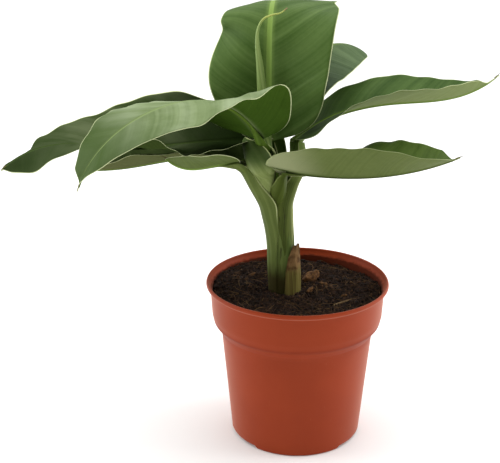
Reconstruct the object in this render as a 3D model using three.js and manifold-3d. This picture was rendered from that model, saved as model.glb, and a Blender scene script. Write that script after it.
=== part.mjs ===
// A young dwarf banana plant in a round plastic nursery pot.
// Millimetres, +Z up. The origin is the centre of the pot's flat underside; X runs to the right of
// the plant's front, +Y to its rear.
import * as THREE from 'three';
import { mergeVertices } from 'three/addons/utils/BufferGeometryUtils.js';
import Module from 'manifold-3d';

const wasm = await Module();
wasm.setup();

// ---------------------------------------------------------------- driving dimensions

const GAP = 0.3; // clearance between neighbouring pieces
const SLIVER = 0.02; // features smaller than this are smoothed away after a cut

const POT = {
  height: 117.5,
  rimRadius: 65.4,
  baseRadius: 47.3,
  footRound: 1.6, // rounding of the foot's edge
  collarHead: 62.4, // outer radius of the stacking collar just under the lip
  collarFoot: 61.2, // outer radius of the collar where it starts to round in
  collarRound: 93, // height where it starts to round in
  shoulder: 54.4, // outer radius under the collar
  shoulderTop: 78, // height where the body begins under the collar's rounding
  // how the collar rounds in, from its foot on the body to its side: shares of the way out and up
  collarTurn: [[0, 0], [0.12, 0.2], [0.47, 0.43], [0.82, 0.64], [1, 1]],
  wall: 1.6,
  floor: 3.6,
  floorEase: 0.2, // how much the inside stands off the wall at the floor
  lip: 6.8, // height of the rolled lip
  lipSwell: 1.6, // height over which the lip swells out of the collar
  lipDraw: 0.2, // how far the lip's foot stays inside its widest
  lipRound: 2.5, // height of the lip's rounded top
  lipCrown: [0.9, 0], // the top's outer edge: in from the widest, down from the top
  lipInside: [2.2, 0.4], // the top's inner edge
  segments: 36,
  arches: 3, // drain arches in the foot, one at the rear
  archWidth: 35,
  archDepth: 12,
  archHeight: 2.2,
};

const SOIL = {
  level: 106,
  levels: [30, 60, 78, 82, 86, 93], // heights where the soil's side follows the pot
  heap: 2.2, // how strongly the surface rises and falls
  tilt: 0.6, // how much of that is a slope down to the right
  bumps: [[3, 0.6, 0, 1], [5, 0, 1 / 9, 0.7], [2, 1.57, -1 / 14, 0.5]], // waves round, turn, twist, share
  bumpShare: 0.35,
  bumpStart: 15, // radius where the bumps reach full height
  clearance: 0.4, // extra clearance from the facets of the pot's wall
  edgeDrop: 4, // the edge is as wide as the pot is this far below the level
  rings: 6,
  segments: 28,
  bed: 103.6, // height of the hollows that the stem and the stub stand in
  bedWidening: 1,
  bedSegments: 24,
  bedCut: 30, // height of the cut that clears a hollow
};

// Pseudostem: height, centre x, radius across, radius front to back.
const STEM = {
  sides: 16,
  stations: [
    [104, -11.6, 8.4, 8.2],
    [112, -12.0, 8.9, 8.6],
    [124, -12.2, 9.3, 8.8],
    [145, -12.0, 9.9, 9.0],
    [158, -13.8, 10.2, 9.2],
    [170, -15.4, 11.4, 9.8],
    [180, -16.6, 12.6, 10.4],
  ],
  cupDepth: 3, // hollow between the sheaths at the top
  cupShare: 0.7, // its width, as a share of the stem's
};

// The cut stub of the oldest sheath, in front on the right.
const STUB = {
  sides: 12,
  stations: [
    [104, -3.2, -8.2, 5.4, 3.4],
    [118, -2.6, -7.6, 5.3, 3.0],
    [132, -2.6, -7.4, 4.6, 2.4],
    [141, -3.0, -7.6, 3.0, 1.6],
  ],
};

// The rolled spear leaf: a tapering roll that ends in a thin curl.
const SPEAR = {
  sides: 8,
  path: [
    [-20.5, 0.5, 198], [-22, 0.5, 214], [-25, 0, 235], [-27, -1, 262], [-29.5, -1, 285],
    [-28, -1, 300], [-20, -2, 305], [-10, -2, 308],
  ],
  radii: [3.4, 3.4, 3.3, 2.9, 2.3, 1.2, 1.0, 0.8],
};

const STALK = {
  sides: 8,
  neckDrop: 1.6, // how far under the midrib the stalk meets the blade
  reach: 0.06, // share of the midrib that it goes on along
  endDrop: 2.2,
  endRadius: 1.6,
};

const LIMB_STEPS = [2, 2]; // steps along a limb: for each point of its path, and at its ends

const BLADE = {
  thickness: 1.0,
  neck: 1.6, // least half width at the stalk
  tip: 0.9, // least half width at the tip
  rowSpacing: 10.8,
  fewestRows: 4,
  crowding: 0.09, // how much the rows crowd towards both ends
  halfColumns: 4,
  midribSteps: 240,
  curlSteps: 8,
  rippleFade: 12, // half width under which ripples fade out
  lobeReach: 0.35, // share of the midrib over which a lobe fades out
  lobePower: 1.5,
  slit: 0.5, // gap between the two stretches of a split blade
};

// Every leaf. Angles are in degrees: heading turns from +X towards +Y, pitch is the midrib's climb,
// left and right are the fold of each half above the flat (as seen from the stalk), each given at
// equal steps from the stalk to the tip. curl bends each half further towards its margin, lobe
// carries its base back past the stalk, outline holds where the base stops widening, where the taper
// starts and how blunt the tip is, skew widens the right half and narrows the left by that share,
// and a ripple is [half, place, span, rise of the margin in mm].
const LEAVES = {
  small_left: {
    base: [-42, -14, 208], length: 51, halfWidth: 19,
    heading: [183, 180, 168], pitch: [-2, -8, 43], left: [33, 42, 65], right: [-10, -10, -12],
    curl: [2, 0], lobe: [0.08, 0.1], outline: [0.31, 0.46, 0.73], ripples: [],
    stalk: {
      path: [[-20, -1, 163], [-24, -1, 176], [-30, -5, 190], [-36, -9, 202]], radii: [6.5, 6, 5.2, 4.4, 3],
    },
  },
  far_left: {
    base: [-33, 5, 220], length: 180, halfWidth: 55,
    heading: [159, 202, 205], pitch: [-8, -3, 11, -38],
    left: [-3, 9, 12, -48], right: [29, 27, -3, -19],
    curl: [10, 8], lobe: [0.09, 0.03], outline: [0.34, 0.44, 0.82],
    ripples: [['left', 0.25, 0.09, -5.6], ['left', 0.5, 0.1, 0.6], ['left', 0.82, 0.06, 5.1],
      ['right', 0.15, 0.1, -12.6], ['right', 0.4, 0.1, 1], ['right', 0.62, 0.06, 3.5],
      ['right', 0.88, 0.05, -8.7]],
    stalk: { path: [[-22, 0, 172], [-25, 0, 187], [-29, 1, 202]], radii: [5, 4.8, 4.6, 4.6, 3.6] },
  },
  back_right: {
    base: [-3, 7, 219], length: 153, halfWidth: 40,
    heading: [27, 2, -2], pitch: [29, 8, 8, 47], left: [-26, 22, 28, 7], right: [14, 33, 38, 39],
    curl: [-7, 0], lobe: [0.05, 0], outline: [0.32, 0.47, 0.75],
    ripples: [['right', 0.15, 0.1, -3.2], ['right', 0.6, 0.1, -1.2], ['left', 0.85, 0.08, -0.9]],
    stalk: {
      path: [[-11, 0, 164], [-9, 1, 178], [-4, 2, 191], [0, 4, 203]], radii: [6, 6, 5.4, 5.2, 5, 4],
    },
  },
  front_right: {
    base: [-11, -24, 206], length: 118, halfWidth: 40,
    heading: [-16, -17, 2], pitch: [-6, 8, 23], left: [-27, 26, 20], right: [36, 40, 17],
    curl: [-12, 2], lobe: [0.27, 0.32], outline: [0.28, 0.49, 0.77],
    ripples: [['left', 0.25, 0.12, -1.6]],
    stalk: { path: [[-15, -5, 168], [-15, -8, 184], [-14, -15, 198]], radii: [5.4, 5, 4.2, 3] },
  },
  front_left: {
    base: [-26, -14, 224], length: 173, halfWidth: 44,
    heading: [-144, -137, -148, -170], pitch: [60, 15, -23, -71],
    left: [24, 11, -1, 9], right: [-18, -15, -3, 23],
    curl: [-5, -4], lobe: [-0.08, -0.13], outline: [0.26, 0.46, 0.77],
    ripples: [['left', 0.22, 0.09, 12.7], ['left', 0.4, 0.05, 2.2], ['left', 0.72, 0.07, 2.7],
      ['right', 0.2, 0.1, 7.6]],
    split: 0.45,
    stalk: { path: [[-18, -3, 178], [-21, -6, 196], [-23, -9, 212]], radii: [4.4, 4.2, 4, 3.2] },
  },
  upright: {
    base: [-21, 9, 216], length: 145, halfWidth: 44, skew: 0.07,
    heading: [93, 81, 90], pitch: [92, 90, 84, -1, -59], left: [28, 4, -11, 0], right: [27, 29, -1, 2],
    curl: [-9, 3], lobe: [-0.05, -0.09], outline: [0.37, 0.57, 0.76],
    ripples: [['left', 0.5, 0.1, -11.7], ['left', 0.3, 0.1, 6.5], ['left', 0.66, 0.05, -4.8],
      ['right', 0.55, 0.1, 4.6], ['right', 0.68, 0.05, -1.4]],
    split: 0.7,
    stalk: { path: [[-19, 4, 178], [-19, 6, 192], [-19, 8, 205]], radii: [4.4, 4.2, 4, 3.4] },
  },
  rear: {
    base: [-16, 15, 225], length: 133, halfWidth: 32,
    heading: [76, 47, 40], pitch: [69, 33, 5, -39], left: [10, -4, -14], right: [20, -23, -32],
    curl: [-2, -1], lobe: [0.1, 0.1], outline: [0.31, 0.43, 0.74], ripples: [],
    split: 0.62,
    stalk: { path: [[-14, 6, 178], [-13, 9, 195], [-14, 12, 212]], radii: [4, 4, 3.8, 3.2] },
  },
  low_left: {
    base: [-42, 22, 199], length: 114, halfWidth: 38,
    heading: [166, 180, 170], pitch: [10, -11, -1], left: [25, 27, 29], right: [25, 8, 27],
    curl: [-18, 1], lobe: [0.1, 0.3], outline: [0.3, 0.54, 0.75],
    ripples: [['left', 0.3, 0.1, 0.9], ['left', 0.6, 0.1, 3.5]],
    stalk: { path: [[-20, 6, 168], [-25, 9, 182], [-34, 16, 193]], radii: [5, 4.6, 4, 3] },
  },
};

const FINISHES = {
  pot: { color: 0xa24a2e, roughness: 0.45 },
  soil: { color: 0x33241b, roughness: 0.95 },
  stem: { color: 0x6f8a3e, roughness: 0.5 },
  stub: { color: 0x9a9460, roughness: 0.7 },
  stalk: { color: 0x7d9a48, roughness: 0.5 },
  spear: { color: 0xa9bf5e, roughness: 0.5 },
  leaf: { color: 0x45702f, roughness: 0.4 },
};

// ---------------------------------------------------------------- helpers

const rad = THREE.MathUtils.degToRad;
const clamp = THREE.MathUtils.clamp;

/** Smooth value at t in 0..1 through evenly spaced values (Catmull-Rom). */
function along(values, t) {
  const n = values.length - 1;
  const x = Math.min(t * n, n - 1e-9);
  const i = Math.floor(x);
  const f = x - i;
  const v = [2 * values[0] - values[1], ...values, 2 * values[n] - values[n - 1]];
  const [a, b, c, d] = v.slice(i, i + 4);
  return b + 0.5 * f * (c - a + f * (2 * a - 5 * b + 4 * c - d + f * (3 * (b - c) + d - a)));
}

/** Turns a list of triangles' points into a solid. */
function solid(geometry) {
  const bare = new THREE.BufferGeometry().setAttribute('position', geometry.getAttribute('position'));
  if (geometry.index) bare.setIndex(geometry.index);
  const merged = mergeVertices(bare, 1e-4);
  return new wasm.Manifold(new wasm.Mesh({
    numProp: 3,
    vertProperties: new Float32Array(merged.attributes.position.array),
    triVerts: new Uint32Array(merged.index.array),
  }));
}

/** Turns a solid back into a geometry: only its largest piece, without slivers. */
function geometryOf(body) {
  const pieces = body.decompose().sort((a, b) => b.volume() - a.volume());
  const mesh = pieces[0].simplify(SLIVER).getMesh();
  const points = new Float32Array(mesh.numVert * 3);
  for (let i = 0; i < mesh.numVert; i++) {
    for (let k = 0; k < 3; k++) points[3 * i + k] = mesh.vertProperties[i * mesh.numProp + k];
  }
  const geometry = new THREE.BufferGeometry();
  geometry.setAttribute('position', new THREE.BufferAttribute(points, 3));
  geometry.setIndex(new THREE.BufferAttribute(new Uint32Array(mesh.triVerts), 1));
  const flat = geometry.toNonIndexed();
  flat.computeVertexNormals();
  return flat;
}

/** Closed body through rings of points (equal counts, anticlockwise seen against the direction of travel). */
function loft(rings) {
  const sides = rings[0].length;
  const points = rings.flat();
  const index = [];
  for (let r = 0; r + 1 < rings.length; r++) {
    for (let s = 0; s < sides; s++) {
      const a = r * sides + s;
      const b = r * sides + (s + 1) % sides;
      index.push(a, b, b + sides, a, b + sides, a + sides);
    }
  }
  for (const [ring, turn] of [[0, -1], [rings.length - 1, 1]]) {
    const centre = rings[ring].reduce((sum, p) => sum.add(p), new THREE.Vector3())
      .divideScalar(sides);
    points.push(centre);
    for (let s = 0; s < sides; s++) {
      const a = ring * sides + s;
      const b = ring * sides + (s + 1) % sides;
      index.push(...(turn > 0 ? [a, b, points.length - 1] : [b, a, points.length - 1]));
    }
  }
  return indexed(points, index);
}

/** Closed thin body between two grids of points with the same rows and columns. */
function slab(top, bottom) {
  const rows = top.length;
  const columns = top[0].length;
  const under = rows * columns;
  const index = [];
  const quad = (a, b, c, d) => index.push(a, b, c, a, c, d);
  const at = (r, c) => r * columns + c;
  for (let r = 0; r + 1 < rows; r++) {
    for (let c = 0; c + 1 < columns; c++) {
      quad(at(r, c), at(r, c + 1), at(r + 1, c + 1), at(r + 1, c));
      quad(under + at(r, c + 1), under + at(r, c), under + at(r + 1, c), under + at(r + 1, c + 1));
    }
    const [p, q] = [at(r, 0), at(r + 1, 0)];
    quad(p, q, under + q, under + p);
    const [m, n] = [at(r, columns - 1), at(r + 1, columns - 1)];
    quad(n, m, under + m, under + n);
  }
  for (let c = 0; c + 1 < columns; c++) {
    const [p, q] = [at(0, c), at(0, c + 1)];
    quad(q, p, under + p, under + q);
    const [m, n] = [at(rows - 1, c), at(rows - 1, c + 1)];
    quad(m, n, under + n, under + m);
  }
  return indexed([...top.flat(), ...bottom.flat()], index);
}

/** Geometry of points and the triangles between them. */
function indexed(points, index) {
  const geometry = new THREE.BufferGeometry().setFromPoints(points);
  geometry.setIndex(index);
  return geometry;
}

/** Round limb along a smooth path, its radius running through the given values. */
function limb(path, radii, sides, grow = 0) {
  const curve = new THREE.CatmullRomCurve3(path.map((p) => new THREE.Vector3(...p)));
  const steps = path.length * LIMB_STEPS[0] + LIMB_STEPS[1];
  const frames = curve.computeFrenetFrames(steps, false);
  const rings = [];
  for (let i = 0; i <= steps; i++) {
    const centre = curve.getPointAt(i / steps);
    const radius = along(radii, i / steps) + grow;
    rings.push(Array.from({ length: sides }, (_, s) => {
      const a = (2 * Math.PI * s) / sides;
      return centre.clone()
        .addScaledVector(frames.normals[i], radius * Math.cos(a))
        .addScaledVector(frames.binormals[i], radius * Math.sin(a));
    }));
  }
  return solid(loft(rings));
}

// ---------------------------------------------------------------- pot and soil

/** The pot's outside profile from the foot to the top of the rim, as [radius, height]. */
function potOutside() {
  const out = POT.collarFoot - POT.shoulder;
  const up = POT.collarRound - POT.shoulderTop;
  const underLip = POT.height - POT.lip;
  return [
    [POT.baseRadius - POT.footRound, 0],
    [POT.baseRadius, 1.4 * POT.footRound],
    ...POT.collarTurn.map(([a, b]) => [POT.shoulder + a * out, POT.shoulderTop + b * up]),
    [POT.collarHead, underLip],
    [POT.rimRadius - POT.lipDraw, underLip + POT.lipSwell],
    [POT.rimRadius, POT.height - POT.lipRound],
    [POT.rimRadius - POT.lipCrown[0], POT.height - POT.lipCrown[1]],
  ];
}

/** The pot: its profile turned round Z, with the drain arches cut out of the foot. */
function pot() {
  const outside = potOutside();
  const inside = outside.slice(2, -3).reverse().map(([r, z]) => [r - POT.wall, z]);
  const profile = [
    [0, 0],
    ...outside,
    [POT.rimRadius - POT.lipInside[0], POT.height - POT.lipInside[1]],
    ...inside,
    [POT.baseRadius - POT.wall + POT.floorEase, POT.floor],
    [0, POT.floor],
  ].map(([r, z]) => new THREE.Vector2(r, z));
  let body = solid(new THREE.LatheGeometry(profile, POT.segments).rotateX(Math.PI / 2));
  const arch = new THREE.BoxGeometry(POT.archWidth, POT.archDepth, 2 * POT.archHeight);
  for (let i = 0; i < POT.arches; i++) {
    const turn = 2 * Math.PI * i / POT.arches;
    const cut = arch.clone().translate(0, POT.baseRadius, 0).rotateZ(turn);
    body = body.subtract(solid(cut));
  }
  return body;
}

/** Uneven height of the soil at a place. */
function soilHeight(radius, angle) {
  const bumps = SOIL.bumps.reduce((sum, [waves, turn, twist, share]) =>
    sum + share * Math.sin(waves * angle + turn + twist * radius), 0);
  const slope = -SOIL.tilt * Math.cos(angle) * radius / POT.baseRadius;
  const spread = SOIL.bumpShare * Math.min(1, radius / SOIL.bumpStart);
  return SOIL.level + SOIL.heap * (spread * bumps + slope);
}

/** Radius of the pot's inside at a height between its foot and its lip. */
function potInside(z) {
  const sides = potOutside();
  const above = sides.findIndex(([, height]) => height >= z);
  const [[r0, z0], [r1, z1]] = [sides[above - 1], sides[above]];
  return r0 + (r1 - r0) * (z - z0) / (z1 - z0) - POT.wall;
}

/** The soil: it fills the pot, with a hollow for the stem and one for the stub. */
function soil() {
  const ring = (radius, height) => Array.from({ length: SOIL.segments }, (_, s) => {
    const a = (2 * Math.PI * s) / SOIL.segments;
    return new THREE.Vector3(radius * Math.cos(a), radius * Math.sin(a), height(radius, a));
  });
  const reach = (z) => potInside(z) - GAP - SOIL.clearance;
  const rings = [POT.floor + GAP, ...SOIL.levels].map((z) => ring(reach(z), () => z));
  const edge = reach(SOIL.level - SOIL.edgeDrop);
  for (let i = SOIL.rings; i > 0; i--) rings.push(ring(edge * i / SOIL.rings, soilHeight));
  let body = solid(loft(rings));
  const [, stemX, stemAcross, stemDeep] = STEM.stations[0];
  const [, stubX, stubY, stubAcross, stubDeep] = STUB.stations[0];
  for (const [x, y, across, deep] of [
    [stemX, 0, stemAcross, stemDeep],
    [stubX, stubY, stubAcross, stubDeep],
  ]) {
    const bed = new THREE.CylinderGeometry(1, 1, SOIL.bedCut, SOIL.bedSegments)
      .rotateX(Math.PI / 2)
      .scale(across + SOIL.bedWidening, deep + SOIL.bedWidening, 1)
      .translate(x, y, SOIL.bed + SOIL.bedCut / 2);
    body = body.subtract(solid(bed));
  }
  return body;
}

// ---------------------------------------------------------------- stem

/** Level ring of points. */
function ellipse(x, y, z, rx, ry, sides) {
  return Array.from({ length: sides }, (_, s) => {
    const a = (2 * Math.PI * s) / sides;
    return new THREE.Vector3(x + rx * Math.cos(a), y + ry * Math.sin(a), z);
  });
}

/** The pseudostem, with a shallow cup between the sheaths at its top. */
function pseudostem(grow = 0) {
  const rings = STEM.stations.map(([z, x, rx, ry]) =>
    ellipse(x, 0, z, rx + grow, ry + grow, STEM.sides));
  const [z, x, rx, ry] = STEM.stations.at(-1);
  rings[rings.length - 1].forEach((p) => { p.z += grow; });
  const cup = STEM.cupShare;
  rings.push(ellipse(x, 0, z - STEM.cupDepth + grow, cup * rx, cup * ry, STEM.sides));
  return solid(loft(rings));
}

/** The stub of the oldest sheath. */
function oldSheath() {
  return solid(loft(STUB.stations.map(([z, x, y, rx, ry]) =>
    ellipse(x, y, z, rx, ry, STUB.sides))));
}

// ---------------------------------------------------------------- leaves

/** Half width of a blade at t, as a fraction of its widest. */
function outlineAt([shoulder, taper, blunt], t) {
  const base = Math.sqrt(Math.max(0, 1 - (1 - clamp(t / shoulder, 0, 1)) ** 2));
  const run = clamp((t - taper) / (1 - taper), 0, 1);
  return base * (1 - run * run) ** blunt;
}

/** Directions of a leaf's midrib at t: tangent, sideways and upward. */
function directions(leaf, t) {
  const h = rad(along(leaf.heading, t));
  const p = rad(along(leaf.pitch, t));
  const tangent = new THREE.Vector3(Math.cos(p) * Math.cos(h), Math.cos(p) * Math.sin(h), Math.sin(p));
  const side = new THREE.Vector3(Math.sin(h), -Math.cos(h), 0);
  return { tangent, side, up: side.clone().cross(tangent) };
}

/** Midrib frame (t, place, tangent, side, up) at each of the given places along a leaf. */
function midrib(leaf, stations) {
  const steps = BLADE.midribSteps;
  const places = [new THREE.Vector3(...leaf.base)];
  for (let i = 0; i < steps; i++) {
    const middle = directions(leaf, (i + 0.5) / steps).tangent;
    places.push(places[i].clone().addScaledVector(middle, leaf.length / steps));
  }
  return stations.map((t) => {
    const i = Math.min(Math.floor(t * steps), steps - 1);
    const place = places[i].clone().lerp(places[i + 1], t * steps - i);
    return { t, place, ...directions(leaf, t) };
  });
}

/** Point of a blade at midrib frame f, u from -1 (left margin) to 1 (right margin). */
function bladePoint(leaf, f, u, grow = 0) {
  const end = f.t < 0.5 ? BLADE.neck : BLADE.tip;
  const half = u > 0 ? 1 : 0;
  const sign = u > 0 ? 1 : -1;
  const widest = leaf.halfWidth * (1 + sign * (leaf.skew ?? 0));
  const width = Math.max(widest * outlineAt(leaf.outline, f.t), end) + grow;
  const across = Math.abs(u);
  const fold = rad(along(half ? leaf.right : leaf.left, f.t));
  const curl = rad(leaf.curl[half]);
  let out = 0;
  let rise = 0;
  for (let k = 0; k < BLADE.curlSteps; k++) {
    const angle = fold + curl * across * (k + 0.5) / BLADE.curlSteps;
    out += Math.cos(angle) / BLADE.curlSteps;
    rise += Math.sin(angle) / BLADE.curlSteps;
  }
  const edge = fold + curl * across;
  let lift = 0;
  for (const [name, at, span, height] of leaf.ripples) {
    if ((name === 'right') === (u > 0)) {
      lift += height * across * across * Math.exp(-(((f.t - at) / span) ** 2));
    }
  }
  lift *= clamp(width / BLADE.rippleFade, 0, 1);
  const nearBase = clamp(1 - f.t / BLADE.lobeReach, 0, 1) ** 2;
  const back = leaf.lobe[half] * across ** BLADE.lobePower * nearBase * leaf.halfWidth;
  return f.place.clone()
    .addScaledVector(f.side, sign * (out * across * width - lift * Math.sin(edge)))
    .addScaledVector(f.up, rise * across * width + lift * Math.cos(edge))
    .addScaledVector(f.tangent, -back);
}

/** Thin solid blade between two places along its midrib. */
function blade(leaf, from = 0, to = 1, grow = 0) {
  const rows = Math.max(BLADE.fewestRows, Math.round(leaf.length * (to - from) / BLADE.rowSpacing));
  const columns = Array.from({ length: 2 * BLADE.halfColumns + 1 }, (_, i) => i / BLADE.halfColumns - 1);
  const stations = Array.from({ length: rows + 1 }, (_, r) => {
    // rows crowd towards both ends, where the outline turns fastest
    const s = r / rows;
    return from + (to - from) * (s - BLADE.crowding * Math.sin(2 * Math.PI * s));
  });
  const grid = midrib(leaf, stations).map((f) => columns.map((u) => bladePoint(leaf, f, u, grow)));
  const normalAt = (r, c) => {
    const a = grid[Math.min(r + 1, rows)][c].clone().sub(grid[Math.max(r - 1, 0)][c]);
    const b = grid[r][Math.min(c + 1, columns.length - 1)].clone().sub(grid[r][Math.max(c - 1, 0)]);
    return b.cross(a).normalize();
  };
  const shift = (distance) => grid.map((row, r) => row.map((p, c) =>
    p.clone().addScaledVector(normalAt(r, c), distance)));
  const half = BLADE.thickness / 2 + grow;
  return solid(slab(shift(half), shift(-half)));
}

/** Leaf stalk from inside the stem to just under the blade's first stretch of midrib. */
function stalk(leaf, grow = 0) {
  const [ahead] = midrib(leaf, [STALK.reach]);
  const neck = new THREE.Vector3(...leaf.base).addScaledVector(ahead.up, -STALK.neckDrop);
  const end = ahead.place.clone().addScaledVector(ahead.up, -STALK.endDrop);
  const path = [...leaf.stalk.path, neck.toArray(), end.toArray()];
  return limb(path, [...leaf.stalk.radii, STALK.endRadius], STALK.sides, grow);
}

// ---------------------------------------------------------------- assembly

const group = new THREE.Group();

function add(name, body, finish) {
  const mesh = new THREE.Mesh(geometryOf(body), new THREE.MeshStandardMaterial(finish));
  mesh.name = name;
  group.add(mesh);
}

const stemKeepOut = pseudostem(GAP);

add('pot', pot(), FINISHES.pot);
add('soil', soil(), FINISHES.soil);
add('pseudostem', pseudostem(), FINISHES.stem);
add('old_sheath', oldSheath().subtract(stemKeepOut), FINISHES.stub);

// Each later piece is cut clear of those already placed.
const placed = [stemKeepOut];
const clearOf = (body, others) => others.reduce((rest, other) => rest.subtract(other), body);

for (const [name, leaf] of Object.entries(LEAVES)) {
  add(`stalk_${name}`, clearOf(stalk(leaf), placed), FINISHES.stalk);
  placed.push(stalk(leaf, GAP));
}

const spear = (grow) => limb(SPEAR.path, SPEAR.radii, SPEAR.sides, grow);
add('spear_leaf', clearOf(spear(0), placed), FINISHES.spear);
placed.push(spear(GAP));

for (const [name, leaf] of Object.entries(LEAVES)) {
  const slit = BLADE.slit / 2 / leaf.length;
  const stretches = leaf.split
    ? [['rising', 0, leaf.split - slit], ['falling', leaf.split + slit, 1]]
    : [[null, 0, 1]];
  for (const [part, from, to] of stretches) {
    const node = part ? `leaf_${name}_${part}` : `leaf_${name}`;
    add(node, clearOf(blade(leaf, from, to), placed), FINISHES.leaf);
    placed.push(blade(leaf, from, to, GAP));
  }
}

export default group;
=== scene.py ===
"""A young dwarf banana plant in a round plastic nursery pot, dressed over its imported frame.

Sizes are in millimetres, in the frame's axes: X to the right of the plant's front, Y to its rear, Z up, and
the origin at the centre of the pot's underside. Meshes are put into Blender in metres.
"""
import logging
import math
from collections.abc import Callable
from dataclasses import dataclass, field
from enum import Enum
from itertools import combinations

import bpy
import numpy as np
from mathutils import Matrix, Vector


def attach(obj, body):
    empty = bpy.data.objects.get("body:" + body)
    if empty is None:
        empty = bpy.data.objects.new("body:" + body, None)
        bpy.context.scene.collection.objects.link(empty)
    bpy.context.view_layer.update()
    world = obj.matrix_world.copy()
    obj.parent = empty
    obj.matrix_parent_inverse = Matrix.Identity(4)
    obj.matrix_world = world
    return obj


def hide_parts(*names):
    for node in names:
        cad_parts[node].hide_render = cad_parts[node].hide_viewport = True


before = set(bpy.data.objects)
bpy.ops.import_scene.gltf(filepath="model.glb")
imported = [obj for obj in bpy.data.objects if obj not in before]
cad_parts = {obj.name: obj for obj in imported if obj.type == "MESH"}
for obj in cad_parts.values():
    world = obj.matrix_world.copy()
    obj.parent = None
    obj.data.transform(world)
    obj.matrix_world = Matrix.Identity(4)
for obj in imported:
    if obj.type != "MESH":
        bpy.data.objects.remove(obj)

METRE = 0.001  # metres in one of this script's millimetres
BODY = "root"
LOG = logging.getLogger("banana_plant")

Array = np.ndarray
Colour = tuple[int, int, int]  # as displayed, in steps of 0 to 255
Material = bpy.types.Material
Object = bpy.types.Object


# ---- numbers


def linear(colour: Colour) -> list[float]:
    """Linear red, green, blue and alpha of a display colour.

    The display curve is c/12.92 below 0.04 and ((c + 0.055)/1.055)^2.4 above.
    """
    c = np.array(colour) / 255
    return [*np.where(c < 0.04045, c / 12.92, ((c + 0.055) / 1.055) ** 2.4).tolist(), 1.0]


def along(values: tuple | Array, t: Array) -> Array:
    """Smooth value at t in 0..1 through evenly spaced values, by a Catmull-Rom spline.

    Args:
        values: numbers, or rows of numbers, at equal steps of t.
        t: where to read them.

    Returns:
        The value at each t, with the values' own trailing axis.
    """
    v = np.asarray(values, float)
    n = len(v) - 1
    x = np.clip(t * n, 0, n - 1e-9)
    i = x.astype(int)
    f = (x - i)[..., None] if v.ndim > 1 else x - i
    padded = np.concatenate([[2 * v[0] - v[1]], v, [2 * v[-1] - v[-2]]])
    a, b, c, d = (padded[i + k] for k in range(4))
    return b + 0.5 * f * (c - a + f * (2 * a - 5 * b + 4 * c - d + f * (3 * (b - c) + d - a)))


def ease(x: Array, low: float, high: float) -> Array:
    """Smooth step from 0 at low to 1 at high: s*s*(3 - 2s) of the clamped share s."""
    s = np.clip((x - low) / (high - low), 0, 1)
    return s * s * (3 - 2 * s)


def unit(vectors: Array) -> Array:
    """Vectors scaled to length one along their last axis."""
    return vectors / np.maximum(np.linalg.norm(vectors, axis=-1, keepdims=True), 1e-12)


def circle(count: int) -> Array:
    """Angles round a full turn in equal steps."""
    return np.linspace(0, 2 * np.pi, count, endpoint=False)


def spokes(angle: Array) -> Array:
    """Cosine and sine of the angles along a new last axis."""
    return np.stack([np.cos(angle), np.sin(angle)], axis=-1)


def xyz(x: Array, y: Array | float, z: Array | float) -> Array:
    """Points whose coordinates fit one grid."""
    return np.stack(np.broadcast_arrays(x, y, z), axis=-1)


class Lattice:
    """Smooth random field: random values at the corners of a cubic lattice, blended inside each cube."""

    SIDE = 32

    def __init__(self, seed: int) -> None:
        """Deals the corner values from the seed."""
        self.values = np.random.default_rng(seed).uniform(-1, 1, (self.SIDE,) * 3)

    def at(self, points: Array, size: float, layers: int = 1) -> Array:
        """Field at the points: the eight corner values round each, weighted by smoothed distances.

        Args:
            points: any array whose last axis is x, y, z.
            size: spacing of the lattice.
            layers: fields to add up, each half the size and half the strength of the one before.

        Returns:
            One value a point, from -1 to 1 for one layer.
        """
        if layers > 1:
            return self.at(points, size) + self.at(points + 7.3, size / 2, layers - 1) / 2
        x = points / size
        low = np.floor(x).astype(int)
        f = x - low
        f = f * f * (3 - 2 * f)
        total = np.zeros(x.shape[:-1])
        for step in np.ndindex(2, 2, 2):
            i, j, k = np.moveaxis((low + step) % self.SIDE, -1, 0)
            total += self.values[i, j, k] * np.prod(np.where(step, f, 1 - f), axis=-1)
        return total


# ---- meshes


@dataclass
class Piece:
    """Points, faces and point values of one mesh, gathered before it goes into Blender."""

    name: str
    points: Array
    faces: list[Array]
    values: dict[str, Array] = field(default_factory=dict)

    def make(self, material: Material, smooth: bool = True) -> Object:
        """Puts the piece into Blender, at the origin, in metres.

        Args:
            material: its finish.
            smooth: whether its faces shade smoothly.

        Returns:
            The new object.
        """
        mesh = bpy.data.meshes.new(self.name)
        faces = [face for block in self.faces for face in block.tolist()]
        mesh.from_pydata((self.points.reshape(-1, 3) * METRE).tolist(), [], faces)
        for key, value in self.values.items():
            layer = mesh.attributes.new(key, "FLOAT", "POINT")
            layer.data.foreach_set("value", np.asarray(value, np.float32))
        mesh.polygons.foreach_set("use_smooth", np.full(len(mesh.polygons), smooth))
        mesh.materials.append(material)
        mesh.validate()
        piece = bpy.data.objects.new(self.name, mesh)
        bpy.context.scene.collection.objects.link(piece)
        return piece


def grid_faces(rows: int, columns: int, closed: bool = False) -> Array:
    """Quads of a grid of points numbered row by row, facing the side where columns cross rows.

    Args:
        rows, columns: counts of points.
        closed: whether the last column joins the first.

    Returns:
        Corner numbers, one row a quad.
    """
    row = np.arange(rows - 1)[:, None] * columns
    left = np.arange(columns if closed else columns - 1)
    right = (left + 1) % columns
    quads = np.stack([row + left, row + right, row + right + columns, row + left + columns], axis=-1)
    return quads.reshape(-1, 4)


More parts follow.
